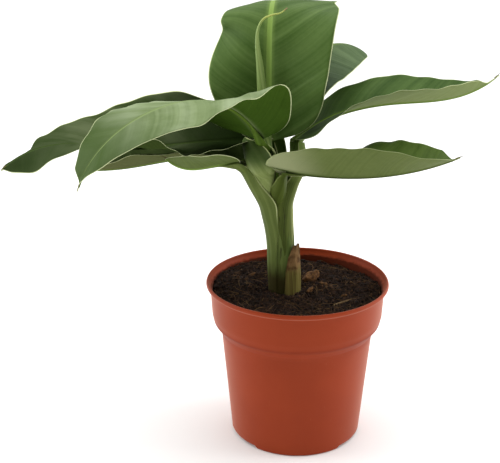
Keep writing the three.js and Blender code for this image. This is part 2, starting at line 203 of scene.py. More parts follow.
def rings_piece(name: str, rings: Array, **values: Array | float) -> Piece:
    """Closed body through rings of points, each end closed by a fan to its ring's middle.

    Args:
        name: the piece's name.
        rings: points as rings, points of a ring, x y z, anticlockwise seen against the travel.
        values: point values that fit the same grid.

    Returns:
        The piece.
    """
    count, sides = rings.shape[:2]
    points = np.concatenate([rings.reshape(-1, 3), [rings[0].mean(0), rings[-1].mean(0)]])
    here = np.arange(sides)
    following = (here + 1) % sides
    last = (count - 1) * sides
    start = np.stack([following, here, np.full(sides, count * sides)], axis=1)
    end = np.stack([last + here, last + following, np.full(sides, count * sides + 1)], axis=1)
    filled = {}
    for key, value in values.items():
        grid = np.broadcast_to(value, (count, sides))
        filled[key] = np.concatenate([grid.ravel(), [grid[0].mean(), grid[-1].mean()]])
    return Piece(name, points, [grid_faces(count, sides, closed=True), start, end], filled)


def slab_piece(name: str, top: Array, bottom: Array, values: dict[str, Array]) -> Piece:
    """Closed thin body between two grids of points, with a value 'side' of 0 on top and 1 below.

    Args:
        name: the piece's name.
        top, bottom: the two grids, rows by columns by x y z.
        values: point values on the grid, the same above and below.

    Returns:
        The piece.
    """
    rows, columns = top.shape[:2]
    under = rows * columns
    upper = grid_faces(rows, columns)
    number = np.arange(under).reshape(rows, columns)
    border = np.concatenate([number[:-1, 0], number[-1, :-1], number[:0:-1, -1], number[0, :0:-1]])
    following = np.roll(border, -1)
    rim = np.stack([border, following, following + under, border + under], axis=1)
    doubled = {key: np.tile(np.ravel(value), 2) for key, value in values.items()}
    doubled["side"] = np.repeat([0.0, 1.0], under)
    points = np.concatenate([top.reshape(-1, 3), bottom.reshape(-1, 3)])
    return Piece(name, points, [upper, upper[:, ::-1] + under, rim], doubled)


def tube(centre: Array, radius: Array, angle: Array, aside: tuple[float, float, float]) -> Array:
    """Rings round a path: its points plus radius times (cos a across + sin a depth).

    Args:
        centre: the path's points, on the last axis but one.
        radius: values that fit rings by angles.
        angle: the angles a of a ring's points.
        aside: direction to which across is square, as it is to the path.

    Returns:
        The path's axes, then angles, then x y z.
    """
    forward = unit(np.gradient(centre, axis=-2))
    across = unit(np.cross(forward, aside))
    depth = np.cross(forward, across)
    spoke = np.cos(angle)[:, None] * across[..., None, :] + np.sin(angle)[:, None] * depth[..., None, :]
    return centre[..., None, :] + radius[..., None] * spoke


def joined(name: str, pieces: list[Piece]) -> Piece:
    """Several pieces without point values as one."""
    starts = np.cumsum([0] + [len(p.points) for p in pieces])
    faces = [block + start for p, start in zip(pieces, starts) for block in p.faces]
    return Piece(name, np.concatenate([p.points for p in pieces]), faces)


def install(piece: Object, slot: str, *nodes: str) -> None:
    """Fixes a finished piece to the body and stands it for CAD nodes.

    Args:
        piece: the object.
        slot: not used.
        nodes: the CAD nodes that it replaces.
    """
    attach(piece, BODY)
    if nodes:
        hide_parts(*nodes)
    LOG.info("%s: %d faces", piece.name, len(piece.data.polygons))


# ---- shaders


def operator(operation: str, swapped: bool = False) -> Callable[..., "Wire"]:
    """A Python operator that adds a Math node.

    Args:
        operation: the node's operation.
        swapped: whether the terms change places.

    Returns:
        The operator, as a method for Wire.
    """

    def apply(first: "Wire", second: "Wire | float") -> "Wire":
        """The node's result on the two terms."""
        terms = (second, first) if swapped else (first, second)
        return first.shader.wire("ShaderNodeMath", {"operation": operation}, dict(enumerate(terms)))

    return apply


class Wire:
    """One value of a node tree. Python's operators on it add Math nodes."""

    def __init__(self, shader: "Shader", socket: bpy.types.NodeSocket) -> None:
        """Wraps an output socket of a shader's tree."""
        self.shader = shader
        self.socket = socket

    __add__ = __radd__ = operator("ADD")
    __mul__ = __rmul__ = operator("MULTIPLY")
    __sub__ = operator("SUBTRACT")
    __rsub__ = operator("SUBTRACT", swapped=True)
    __pow__ = operator("POWER")

    def step(self, low: float, high: float) -> "Wire":
        """Smooth step from 0 at low to 1 at high; low may be the greater."""
        ends = {"From Min": low, "From Max": high, "To Min": 0.0, "To Max": 1.0}
        if low > high:
            ends = {"From Min": high, "From Max": low, "To Min": 1.0, "To Max": 0.0}
        settings = {"interpolation_type": "SMOOTHSTEP"}
        return self.shader.wire("ShaderNodeMapRange", settings, {"Value": self, **ends}, "Result")


class Shader:
    """A material's node tree, built with short calls."""

    def __init__(self, name: str) -> None:
        """Starts an empty material of that name with a Principled surface."""
        self.material = bpy.data.materials.new(name)
        self.material.use_nodes = True
        self.tree = self.material.node_tree
        self.tree.nodes.clear()
        self.surface = self.node("ShaderNodeBsdfPrincipled")
        output = self.node("ShaderNodeOutputMaterial")
        self.tree.links.new(self.surface.outputs["BSDF"], output.inputs["Surface"])

    def node(self, kind: str, settings: dict | None = None, inputs: dict | None = None) -> bpy.types.Node:
        """Adds one node.

        Args:
            kind: the node's type.
            settings: its properties, set first.
            inputs: values or wires of its sockets, by name or number.

        Returns:
            The node.
        """
        made = self.tree.nodes.new(kind)
        for key, value in (settings or {}).items():
            setattr(made, key, value)
        for key, value in (inputs or {}).items():
            self.feed(made.inputs[key], value)
        return made

    def feed(self, socket: bpy.types.NodeSocket, value: Wire | float | tuple) -> None:
        """Gives a socket a wire, a number, a vector or a display colour."""
        if isinstance(value, Wire):
            self.tree.links.new(value.socket, socket)
        else:
            socket.default_value = linear(value) if socket.type == "RGBA" else value

    def wire(self, kind: str, settings: dict | None = None, inputs: dict | None = None,
             output: str | int = 0) -> Wire:
        """Adds a node and returns one of its outputs."""
        return Wire(self, self.node(kind, settings, inputs).outputs[output])

    def value(self, name: str) -> Wire:
        """A point value of the mesh."""
        return self.wire("ShaderNodeAttribute", {"attribute_name": name}, output="Fac")

    def place(self) -> Wire:
        """The point's place in the frame, in metres."""
        return self.wire("ShaderNodeTexCoord", output="Object")

    def stretched(self, scale: tuple[float, float, float]) -> Wire:
        """The point's place, scaled along each axis."""
        return self.wire("ShaderNodeVectorMath", {"operation": "MULTIPLY"}, {0: self.place(), 1: scale})

    def noise(self, size: float, detail: float = 2.0, where: Wire | None = None) -> Wire:
        """Cloudy pattern from 0 to 1 in space, with features of a size in millimetres."""
        inputs = {"Vector": where or self.place(), "Scale": 1 / (size * METRE), "Detail": detail}
        return self.wire("ShaderNodeTexNoise", {"noise_dimensions": "3D"}, inputs, "Fac")

    def streaks(self, value: Wire, size: float, detail: float = 1.0, offset: float = 0.0) -> Wire:
        """Random stripes from 0 to 1 across a point value, of a size in that value's unit."""
        inputs = {"W": value * (1 / size) + offset, "Scale": 1.0, "Detail": detail}
        return self.wire("ShaderNodeTexNoise", {"noise_dimensions": "1D"}, inputs, "Fac")

    def mix(self, share: Wire | float, first: Wire | Colour, second: Wire | Colour) -> Wire:
        """Colour that goes from the first to the second as share goes from 0 to 1."""
        made = self.node("ShaderNodeMix", {"data_type": "RGBA", "clamp_factor": True})
        sockets = {s.identifier: s for s in [*made.inputs, *made.outputs]}
        for key, value in {"Factor_Float": share, "A_Color": first, "B_Color": second}.items():
            self.feed(sockets[key], value)
        return Wire(self, sockets["Result_Color"])

    def layers(self, base: Wire | Colour, *over: tuple[Wire, Colour]) -> Wire:
        """Colour of a base with others over it, each given after its share."""
        for share, colour in over:
            base = self.mix(share, base, colour)
        return base

    def bump(self, height: Wire, depth: float, strength: float) -> Wire:
        """Surface direction of a relief whose height 1 is a depth in millimetres."""
        inputs = {"Height": height, "Distance": depth * METRE, "Strength": strength}
        return self.wire("ShaderNodeBump", None, inputs, "Normal")

    def finish(self, colour: Wire, roughness: Wire | float, normal: Wire | None = None,
               shine: float = 0.5) -> Material:
        """Feeds the surface and returns the material.

        Args:
            colour, roughness, normal: what varies over the surface.
            shine: how strongly the surface mirrors.

        Returns:
            The finished material.
        """
        inputs = self.surface.inputs
        self.feed(inputs["Base Color"], colour)
        self.feed(inputs["Roughness"], roughness)
        if normal:
            self.feed(inputs["Normal"], normal)
        inputs["Specular IOR Level"].default_value = shine
        return self.material


# ---- finishes


@dataclass(frozen=True)
class PlasticFinish:
    """Satin terracotta-coloured plastic, moulded, with faint dusty scuffs, darker inside under the rim,
    painted sheen at grazing angles and painted shade at the collar's foot.
    """

    colour: Colour = (149, 58, 28)
    deep: Colour = (122, 42, 18)
    dust: Colour = (172, 100, 72)
    soiled: Colour = (46, 26, 18)
    painted_sheen: Colour = (214, 156, 134)

    def material(self, name: str) -> Material:
        """Builds the material."""
        s = Shader(name)
        cloud = s.noise(38, 3)
        rings = s.noise(6, 1, s.stretched((0.02, 0.02, 1.0)))
        grain = s.noise(0.55, 1)
        scuff = s.noise(1.6, 3, s.stretched((1.0, 1.0, 0.25)))
        body = s.mix(cloud.step(0.3, 0.75) * 0.25 + grain * 0.15, self.colour, self.deep)
        worn = scuff.step(0.66, 0.8) * cloud.step(0.4, 0.6)
        # painted sheen: a pale colour at grazing angles, kept off the collar's underside
        graze = s.wire("ShaderNodeLayerWeight", None, {"Blend": 0.4}, "Facing")
        painted_sheen = graze**3 * 0.55 * (1 - s.value("under"))
        # the inner wall goes darker and rougher under the rim
        inner_dark_mask = (s.value("soiled") + s.noise(4, 3) * 0.7 - 0.35).step(0.35, 0.8)
        # painted shade: the deep colour along the collar's lower edge, where the crease value is
        colour = s.layers(body, (worn * 0.25, self.dust), (painted_sheen, self.painted_sheen),
                          (s.value("crease") * 0.6, self.deep), (inner_dark_mask * 0.68, self.soiled))
        roughness = 0.46 + grain * 0.06 + worn * 0.18 + inner_dark_mask * 0.4
        normal = s.bump(grain * 0.6 + rings * 0.25, 0.04, 0.5)
        return s.finish(colour, roughness, normal, shine=0.1)


@dataclass(frozen=True)
class EarthFinish:
    """Dark moist peat and coir, or one of the lumps and fibres in it."""

    dark: Colour
    light: Colour
    size: float = 2.5
    relief: float = 0.8
    rough: float = 0.92

    def material(self, name: str) -> Material:
        """Builds the material."""
        s = Shader(name)
        lumps = s.noise(self.size, 4)
        fine = s.noise(self.size * 0.18, 2)
        colour = s.mix(lumps.step(0.35, 0.72) * 0.7 + fine.step(0.5, 0.8) * 0.3, self.dark, self.light)
        normal = s.bump(lumps * 0.7 + fine * 0.3, self.relief, 0.8)
        return s.finish(colour, self.rough - fine * 0.1, normal, shine=0.2)


@dataclass(frozen=True)
class BladeFinish:
    """A leaf blade: glossy above, matt below, with parallel veins, a pale rib, a pale thin margin, painted
    shade at its base and painted highlight patches above.
    """

    dark: Colour = (40, 66, 14)
    light: Colour = (84, 112, 44)
    under_dark: Colour = (84, 98, 46)
    under_light: Colour = (116, 130, 76)
    rib: Colour = (122, 150, 66)
    margin: Colour = (210, 218, 168)
    # painted shade: deep is its colour, shade how far the blade's base goes to it and shade_end where it has
    # gone
    deep: Colour = (22, 34, 10)
    gloss: float = 0.36
    banding: float = 0.35  # how strongly the broad bands between veins show
    shade: float = 0.0  # how far the blade's base goes to the deep colour
    shine: float = 0.14
    margin_width: float = 0.8
    shade_end: float = 0.42  # share of the midrib by which the shade has gone
    frost: float = 0.0  # how pale and matt the underside is at the base
    pale: Colour = (150, 156, 116)
    tip: Colour = (62, 80, 38)
    tip_share: float = 0.0  # how far the blade's upper face goes to the tip colour at its end
    # painted highlight: pale patches of painted reflection between the folds of the upper face
    painted_highlight: float = 0.0  # how strongly pale patches show between the folds of the upper face
    painted_highlight_colour: Colour = (176, 188, 158)

    def material(self, name: str) -> Material:
        """Builds the material."""
        s = Shader(name)
        side, vein, rib, reach = map(s.value, ("side", "vein", "rib", "along"))
        band = s.streaks(vein, 11, 1.5)
        streak = s.streaks(vein, 2.4, 2, 31.0)
        thread = s.streaks(vein, 0.6, 1, 77.0)
        cloud = s.noise(30, 3)
        mottle = s.noise(3.2, 3)
        tone = band.step(0.3, 0.72) * self.banding + streak * 0.4 + cloud * 0.45 + mottle * 0.2 - 0.22
        # painted highlight patches on the upper face
        patch = (s.streaks(vein, 26, 1.5, 53.0) * 0.6 + cloud * 0.5).step(0.44, 0.66)
        above = s.layers(self.dark, (tone, self.light), (patch * self.painted_highlight, self.painted_highlight_colour),
                         (reach.step(0.52, 0.86) * self.tip_share, self.tip))
        soft = streak * 0.45 + thread * 0.3 + cloud * 0.4 + mottle * 0.25 - 0.2
        below = s.mix(soft, self.under_dark, self.under_light)
        # painted shade at the blade's base on the upper face, which also dims the rib there
        base = reach.step(self.shade_end, self.shade_end * 0.12) * self.shade * (1 - side)
        frosted = reach.step(0.3, 0.0) * side * self.frost
        near_rib = rib.step(2.6, 0.9) * 0.3 * (1 - base)
        on_rib = rib.step(1.1, 0.7)
        edge = s.value("inset").step(self.margin_width, self.margin_width / 3)
        colour = s.layers(s.mix(side, above, below), (base, self.deep), (frosted, self.pale),
                          (near_rib, self.rib), (on_rib * (0.9 - base * 0.9), self.rib),
                          (edge * 0.95, self.margin))
        roughness = self.gloss + side * 0.22 + streak * 0.1 + (1 - thread) * 0.05
        relief = band * 0.35 + streak * 0.6 + thread * 0.22 + mottle * 0.25
        normal = s.bump(relief * (1 - on_rib), 0.45, 0.55)
        return s.finish(colour, roughness, normal, shine=self.shine)


@dataclass(frozen=True)
class StalkFinish:
    """Smooth fleshy stalk or sheath with long fine fibres, a pale margin and a browner foot, a painted
    highlight on its +X edge, and its top painted darker for shade on some stalks and lighter for light on
    others.
    """

    dark: Colour = (62, 78, 30)
    light: Colour = (112, 126, 66)
    # painted highlight colour of the stalk's edge towards +X
    edge_highlight: Colour = (150, 158, 92)
    inner: Colour = (70, 92, 28)
    margin: Colour = (186, 194, 136)
    foot: Colour = (50, 42, 18)
    bruise: Colour = (38, 36, 18)
    foot_height: float = 125.0
    margin_above: float = 160.0  # under this height no pale margin shows
    # painted light and shade at the top: a darker top colour is painted shade, a lighter one painted light
    top: Colour = (58, 78, 34)
    top_above: float = 400.0  # above this height the stalk takes the top colour
    edge_highlight_share: float = 0.0  # how bright the stalk's edge towards +X is
    bruises: float = 0.7

    def material(self, name: str) -> Material:
        """Builds the material."""
        s = Shader(name)
        around, height = map(s.value, ("around", "height"))
        fibre = s.streaks(around + s.noise(30, 1) * 0.6, 0.8, 2)
        broad = s.streaks(around, 4.6, 1, 12.0)
        cloud = s.noise(16, 3)
        tone = broad.step(0.3, 0.7) * 0.45 + fibre * 0.4 + cloud * 0.5 - 0.25
        # painted highlight along the stalk's edge towards +X
        lit = s.value("rightward").step(0.72, 0.97) * self.edge_highlight_share
        # above top_above the top colour: painted shade where darker, painted light where lighter
        painted_top_tone = height.step(self.top_above, self.top_above + 12) * 0.85
        stain = s.noise(2.6, 3, s.stretched((1.0, 1.0, 0.16)))
        low = (height + stain * 16 - 8).step(self.foot_height + 11, self.foot_height - 7)
        pale = s.value("inset").step(1.1, 0.4) * height.step(self.margin_above, self.margin_above + 16) * 0.85
        colour = s.layers(self.dark, (tone, self.light), (lit, self.edge_highlight), (s.value("inside"), self.inner),
                          (painted_top_tone, self.top), (stain.step(0.62, 0.72) * self.bruises, self.bruise),
                          (low * 0.9, self.foot), (pale, self.margin))
        normal = s.bump(fibre * 0.7 + broad * 0.6, 0.25, 0.5)
        return s.finish(colour, 0.46 + fibre * 0.12 + low * 0.25, normal, shine=0.08)


@dataclass(frozen=True)
class DryFinish:
    """Dead tissue that has dried to paper, greener towards its foot."""

    paper: Colour = (134, 102, 64)
    brown: Colour = (78, 54, 28)
    fresh: Colour = (124, 118, 58)
    fresh_below: float = 128.0

    def material(self, name: str) -> Material:
        """Builds the material."""
        s = Shader(name)
        around, height = map(s.value, ("around", "height"))
        fibre = s.streaks(around, 0.8, 2)
        blotch = s.noise(4.5, 3)
        dead = s.mix(blotch.step(0.4, 0.65) * 0.8 + fibre * 0.2, self.paper, self.brown)
        fresh = s.mix(fibre.step(0.35, 0.65) * 0.7, self.fresh, self.brown)
        low = (height + blotch * 12 - 6).step(self.fresh_below + 4, self.fresh_below - 4)
        colour = s.mix(low, dead, fresh)
        normal = s.bump(fibre * 0.8 + blotch * 0.5, 0.4, 0.7)
        return s.finish(colour, 0.72 - low * 0.15, normal, shine=0.15)


@dataclass(frozen=True)
class SpearFinish:
    """The rolled young leaf: pale green, yellow towards its thread-like end, rust at the very tip."""

    dark: Colour = (104, 132, 62)
    light: Colour = (158, 178, 104)
    thread: Colour = (182, 190, 96)
    rust: Colour = (150, 110, 84)

    def material(self, name: str) -> Material:
        """Builds the material."""
        s = Shader(name)
        around, reach = map(s.value, ("around", "reach"))
        fibre = s.streaks(around + reach * 6, 0.7, 2)
        roll = s.streaks(around + reach * 14, 2.4, 1, 5.0)
        colour = s.layers(self.dark, (roll.step(0.35, 0.65) * 0.7 + fibre * 0.3, self.light),
                          (reach.step(0.62, 0.74) * 0.8, self.thread), (reach.step(0.93, 0.99), self.rust))
        return s.finish(colour, 0.45 + fibre * 0.1, s.bump(fibre, 0.2, 0.5), shine=0.4)


# ---- pot


@dataclass
class Pot:
    """Round plastic nursery pot: tapering body, stacking collar, rolled lip and an arched foot."""

    height: float = 117.5
    rim_radius: float = 65.4
    base_radius: float = 47.3
    collar_head: float = 62.4
    collar_foot: float = 61.2
    collar_round: float = 93.0
    shoulder: float = 54.4
    shoulder_top: float = 78.0
    # how the collar rounds in from the body to its side: shares of the way out and up
    collar_turn: tuple = ((0, 0), (0.12, 0.2), (0.47, 0.43), (0.82, 0.64), (1, 1))
    wall: float = 1.2
    floor: float = 3.6
    lip: float = 4.8
    arches: int = 3
    arch_turn: float = 60.0  # degrees from the front to the first arch, towards +X
    arch_half: float = 22.0  # half an arch's width in degrees
    arch_height: float = 2.2
    drains: int = 6
    drain_radius: float = 4.2
    drain_ring: float = 27.0
    around: int = 288
    drain_around: int = 28
    sharp: float = 38.0  # degrees between faces from which an edge shades sharp

    def profile(self) -> Array:
        """Closed outline of the wall as radius and height, from the floor's underside round to its top."""
        rim, top, foot = self.rim_radius, self.height, self.base_radius
        head, floor = self.collar_head, self.floor
        lip, in_foot, in_head = top - self.lip, foot - self.wall, head - self.wall
        low = np.array([self.shoulder, self.shoulder_top])
        turn = low + np.array(self.collar_turn) * ([self.collar_foot, self.collar_round] - low)
        inner_turn = turn[::-1] - [self.wall, 0]
        run, bend = np.linspace, self.bend
        return np.concatenate([
            run((2, 1.8), (foot - 6.5, 1.8), 8),
            bend((foot - 5.6, 1.6), (foot - 5.2, 0), (foot - 4.4, 0)),
            bend((foot - 1.8, 0), (foot - 0.2, 0), (foot - 0.05, 1.4)),
            run((foot, 2.4), turn[0], 30),
            self.path(turn, 7)[1:],
            run(turn[-1], (head, lip - 0.4), 8)[1:],
            bend((head, lip - 0.4), (head + 0.2, lip + 0.8), (rim - 0.8, lip + 1.6)),
            bend((rim - 0.3, lip + 2), (rim + 0.5, top - 1.5), (rim - 0.7, top)),
            bend((rim - 1, top), (rim - 1.7, top), (rim - 1.9, top - 0.8)),
            bend((rim - 2, top - 1.2), (rim - 2.2, lip + 2), (in_head, lip)),
            run((in_head, lip), inner_turn[0], 8)[1:],
            self.path(inner_turn, 4)[1:],
            run(inner_turn[-1], (in_foot + 0.2, floor + 3), 6)[1:],
            bend((in_foot + 0.2, floor + 3), (in_foot, floor), (foot - 5, floor)),
            run((foot - 8, floor), (2, floor), 8),
        ])

    @staticmethod
    def path(corners: Array, steps: int) -> Array:
        """Points along straight runs between corners, the corners slightly rounded by averaging."""
        ticks = np.linspace(0, len(corners) - 1, steps * (len(corners) - 1) + 1)
        fine = np.stack([np.interp(ticks, np.arange(len(corners)), column) for column in corners.T], axis=1)
        fine[1:-1] = (fine[:-2] + fine[1:-1] + fine[2:]) / 3
        return fine

    @staticmethod
    def bend(start: tuple, corner: tuple, end: tuple) -> Array:
        """Rounded corner: seven points of a parabola from start to end, drawn towards the corner."""
        t = np.linspace(0, 1, 7)[:, None]
        return (1 - t) ** 2 * np.array(start) + 2 * t * (1 - t) * np.array(corner) + t * t * np.array(end)

    def arch(self, angle: Array) -> Array:
        """How far an arch is open at an angle round the foot, from 0 to 1."""
        period = 360 / self.arches
        from_front = np.degrees(angle) + 90 - self.arch_turn
        nearest = np.abs((from_front + period / 2) % period - period / 2)
        return 1 - ease(nearest, self.arch_half - 2.5, self.arch_half)

    def shell(self) -> Piece:
        """The wall as the outline turned round Z; the foot's lowest points rise where an arch is."""
        outline = self.profile()
        radius, height = outline[:, :1], outline[:, 1:]
        angle = circle(self.around)
        above = self.arch_height + 0.2
        low = np.clip((above - height) / above, 0, 1) * (radius > self.base_radius - 6)
        height = height + low * self.arch(angle) * self.arch_height
        wide = radius + 0.12 * np.sin(2 * angle + 0.7) * ease(height, 10, 90)
        rings = xyz(wide * np.cos(angle), wide * np.sin(angle), height)
        outside = (np.arange(len(outline)) <= np.argmax(outline[:, 1]))[:, None]
        # crease marks the collar's lower edge for painted shade; under marks the collar's underside, which
        # the painted sheen leaves out
        return rings_piece("pot_shell", rings, soiled=ease(height, 117, 110) * ~outside,
                           crease=ease(height, 84.5, 86.6) * ease(height, 90, 87.6) * outside,
                           under=ease(height, 76, 79) * ease(height, 93, 88) * outside)

    def build(self, finish: PlasticFinish) -> None:
        """Makes the shell with its drain holes and installs it."""
        shell = self.shell().make(finish.material("terracotta_plastic"))
        hole = self.drain_radius * spokes(circle(self.drain_around))
        cutters = []
        for centre in self.drain_ring * spokes(circle(self.drains)):
            ends = [xyz(*(centre + hole).T, z) for z in (-2.0, self.floor + 3)]
            cutters.append(rings_piece("drain", np.stack(ends)))
        cutter = joined("drain_cutters", cutters).make(shell.data.materials[0])
        cut = shell.modifiers.new("drains", "BOOLEAN")
        cut.operation, cut.solver, cut.object = "DIFFERENCE", "EXACT", cutter
        drained = shell.evaluated_get(bpy.context.evaluated_depsgraph_get())
        mesh = bpy.data.meshes.new_from_object(drained)
        shell.modifiers.clear()
        shell.data = mesh
        bpy.data.objects.remove(cutter)
        mesh.set_sharp_from_angle(angle=math.radians(self.sharp))
        install(shell, "pot", "pot")


# ---- soil


@dataclass
class Soil:
    """Peat and coir filling the pot to just under its rim, with crumbs, fibres and bark on it."""

    pot: Pot
    level: float = 109.0
    heap: float = 2.2
    clearance: float = 0.3
    stem: tuple[float, float] = (-11.0, -2.0)
    rows: int = 120
    around: int = 260
    seed: int = 11

    def __post_init__(self) -> None:
        """Deals the random fields."""
        self.field = Lattice(self.seed)
        self.random = np.random.default_rng(self.seed)
        self.edge = self.pot.collar_foot + 0.8 - self.pot.wall - self.clearance

    def height(self, x: Array, y: Array) -> Array:
        """Height of the soil at a place: slow bumps round the pot, a slope, and ever finer lumps."""
        radius, angle = np.hypot(x, y), np.arctan2(y, x)
        bumps = np.sin(3 * angle + 0.6) + 0.7 * np.sin(5 * angle + radius / 9)
        bumps = (bumps + 0.5 * np.cos(2 * angle - radius / 14)) * np.minimum(1, radius / 15)
        slope = -0.6 * np.cos(angle) * radius / self.pot.base_radius
        flat = xyz(x, y, 0.0)
        lumps = 1.1 * self.field.at(flat, 9, 2) + 0.75 * np.abs(self.field.at(flat + 50, 2.6, 2))
        return self.level + self.heap * (0.35 * bumps + slope) + lumps * ease(self.edge - radius, 0, 3)

    def bed(self) -> Piece:
        """The body: walls that follow the pot inside, and a top surface on rings and angles."""
        pot, angle = self.pot, circle(self.around)
        wall = np.array([(pot.base_radius, pot.floor + 0.3), (pot.shoulder, pot.shoulder_top),
                         (pot.collar_foot, pot.collar_round), (pot.collar_foot + 0.8, 99)])
        wall[:, 0] -= pot.wall + self.clearance + 0.4
        radius = np.concatenate([wall[:, 0], self.edge * np.linspace(1, 0.004, self.rows)])[:, None]
        x, y = radius * np.cos(angle), radius * np.sin(angle)
        z = self.height(x, y)
        z[: len(wall)] = wall[:, 1:]
        return rings_piece("soil_bed", xyz(x, y, z))

    def spread(self, count: int, keep_off: float = 10.0) -> Array:
        """Random places on the soil, evenly by area, clear of the stem."""
        radius = self.edge * np.sqrt(self.random.uniform(0, 0.985, (3 * count, 1)))
        spots = radius * spokes(self.random.uniform(0, 2 * np.pi, 3 * count))
        return spots[np.linalg.norm(spots - self.stem, axis=1) > keep_off][:count]

    def crumbs(self, name: str, count: int, smallest: float, largest: float) -> Piece:
        """Irregular lumps: a twenty-faced ball each, its corners moved, squashed and turned at random."""
        golden = (1 + math.sqrt(5)) / 2
        flat = np.array([[a, b * golden, 0] for a in (-1, 1) for b in (-1, 1)])
        ball = unit(np.concatenate([np.roll(flat, k, axis=1) for k in range(3)]))
        near = np.linalg.norm(ball[:, None] - ball, axis=-1) < 1.1
        faces = [(i, j, k) if np.linalg.det(ball[[i, j, k]]) > 0 else (i, k, j)
                 for i, j, k in combinations(range(12), 3) if near[i, j] and near[j, k] and near[i, k]]
        spots = self.spread(count)
        count = len(spots)
        size = smallest + (largest - smallest) * self.random.uniform(0, 1, count) ** 2.5
        shape = ball * self.random.uniform(0.65, 1.25, (count, 12, 1))
        shape = shape * self.random.uniform(0.55, 1.2, (count, 1, 3))
        turn = np.linalg.qr(self.random.normal(size=(count, 3, 3)))[0]
        turn *= np.sign(np.linalg.det(turn))[:, None, None]
        centre = np.column_stack([spots, self.height(*spots.T) + 0.25 * size])
        points = np.einsum("nij,nkj->nki", turn, shape) * size[:, None, None] + centre[:, None]
        blocks = np.array(faces) + 12 * np.arange(count)[:, None, None]
        return Piece(name, points, [blocks.reshape(-1, 3)])

    def fibres(self, name: str, count: int, radius: float, longest: float) -> Piece:
        """Bent threads that lie on the soil: each a thin four-sided tube along an arc of random bend."""
        steps, sides = 9, 4
        spots = self.spread(count, 13.0)
        count = len(spots)
        stride = self.random.uniform(0.25, 1, (count, 1)) * longest / steps
        heading = self.random.uniform(0, 2 * np.pi, (count, 1))
        heading = heading + self.random.normal(0, 1.1, (count, 1)) * np.linspace(-0.5, 0.5, steps)
        flat = spots[:, None] + np.cumsum(spokes(heading) * stride[..., None], axis=1)
        flat = flat * np.minimum(1, (self.edge - 1.2) / np.linalg.norm(flat, axis=-1, keepdims=True))
        arc = np.sin(np.linspace(0, np.pi, steps)) * self.random.uniform(0.2, 2.6, (count, 1))
        z = self.height(flat[..., 0], flat[..., 1]) + radius * 0.6 + arc
        z = (z + np.roll(z, 1, 1) + np.roll(z, -1, 1)) / 3
        z[:, 0], z[:, -1] = z[:, 1] - 0.3, z[:, -2] - 0.3
        thin = radius * np.linspace(1, 0.45, steps)[:, None]
        rings = tube(np.concatenate([flat, z[..., None]], axis=-1), thin, -circle(sides), (0, 0, 1))
        quads = grid_faces(steps, sides, closed=True)[:, ::-1]
        caps = np.array([[0, 1, 2, 3], [steps * sides - k for k in (1, 2, 3, 4)]])
        start = steps * sides * np.arange(count)[:, None, None]
        return Piece(name, rings, [(quads + start).reshape(-1, 4), (caps + start).reshape(-1, 4)])

    def chip(self, place: tuple, size: tuple, turn: float, seed: int) -> Piece:
        """Flake of bark: a ball stretched to the size, tipped, with a broken, layered surface."""
        polar, angle = np.linspace(0.02, np.pi - 0.02, 26)[:, None], circle(40)
        ball = xyz(np.sin(polar) * np.cos(angle), np.sin(polar) * np.sin(angle), -np.cos(polar))
        ball = np.sign(ball) * np.abs(ball) ** 0.8
        ball = ball * (1 + 0.3 * Lattice(seed).at(ball, 0.7, 3))[..., None] * np.array(size) / 2
        c, s = spokes(math.radians(turn))
        spin = np.array([[c, s, 0], [-s, c, 0], [0, 0, 1]])
        tip = np.array([[0.94, 0, 0.34], [0, 1, 0], [-0.34, 0, 0.94]])
        height = float(self.height(*np.array(place)))
        return rings_piece("chip", ball @ spin @ tip + np.array([*place, height + size[2] * 0.3]))

    def build(self) -> None:
        """Makes and installs the bed and everything that lies on it."""
        peat = EarthFinish((22, 13, 10), (64, 43, 31), 2.2, 0.9)
        install(self.bed().make(peat.material("peat")), "soil", "soil")
        litter = (
            (self.crumbs("crumbs_dark", 1500, 0.5, 2.0), (20, 12, 9), (52, 34, 25), 1.4),
            (self.crumbs("crumbs_brown", 500, 0.4, 1.7), (58, 38, 26), (104, 74, 50), 1.2),
            (self.fibres("fibres_dark", 1000, 0.26, 22.0), (36, 23, 16), (84, 58, 39), 3.0, 0.2),
            (self.fibres("fibres_pale", 190, 0.2, 20.0), (82, 60, 38), (136, 106, 70), 3.0, 0.2),
        )
        for piece, *look in litter:
            finish = EarthFinish(*look).material(piece.name + "_finish")
            install(piece.make(finish, smooth=False), "soil")
        # place, size, degrees turned about Z, seed
        flakes = (((11.4, 19), (13, 7, 7), 25, 3), ((19, 9), (4, 9, 3), 35, 4),
                  ((9, -2), (4, 7, 2.4), -25, 5), ((-33, 25), (6, 3.4, 2), 35, 6),
                  ((33, -8), (5, 2.6, 1.8), -20, 7))
        bark = EarthFinish((68, 42, 20), (142, 98, 52), 2.0, 0.9, 0.8).material("pine_bark")
        install(joined("bark_chips", [self.chip(*flake) for flake in flakes]).make(bark), "soil")
        straw = EarthFinish((104, 82, 56), (164, 138, 100), 3.0, 0.2).material("dry_straw")
        install(joined("straw", [self.chip((25, -24), (22, 1.7, 1.3), 4, 8)]).make(straw), "soil")


# ---- leaves


class Half(Enum):
    """The two halves of a blade as seen from its stalk, with the sign of the way across."""

    LEFT = -1
    RIGHT = 1


@dataclass(frozen=True)
class Ripple:
    """A local change of one half's margin: how far it rises, or how much wider the half is there."""

    half: Half
    place: float
    span: float
    rise: float

    def at(self, t: Array, sign: Array) -> Array:
        """Its strength: rise times a bell curve of t about its place, on its own half only."""
        return (self.half.value == sign) * self.rise * np.exp(-(((t - self.place) / self.span) ** 2))


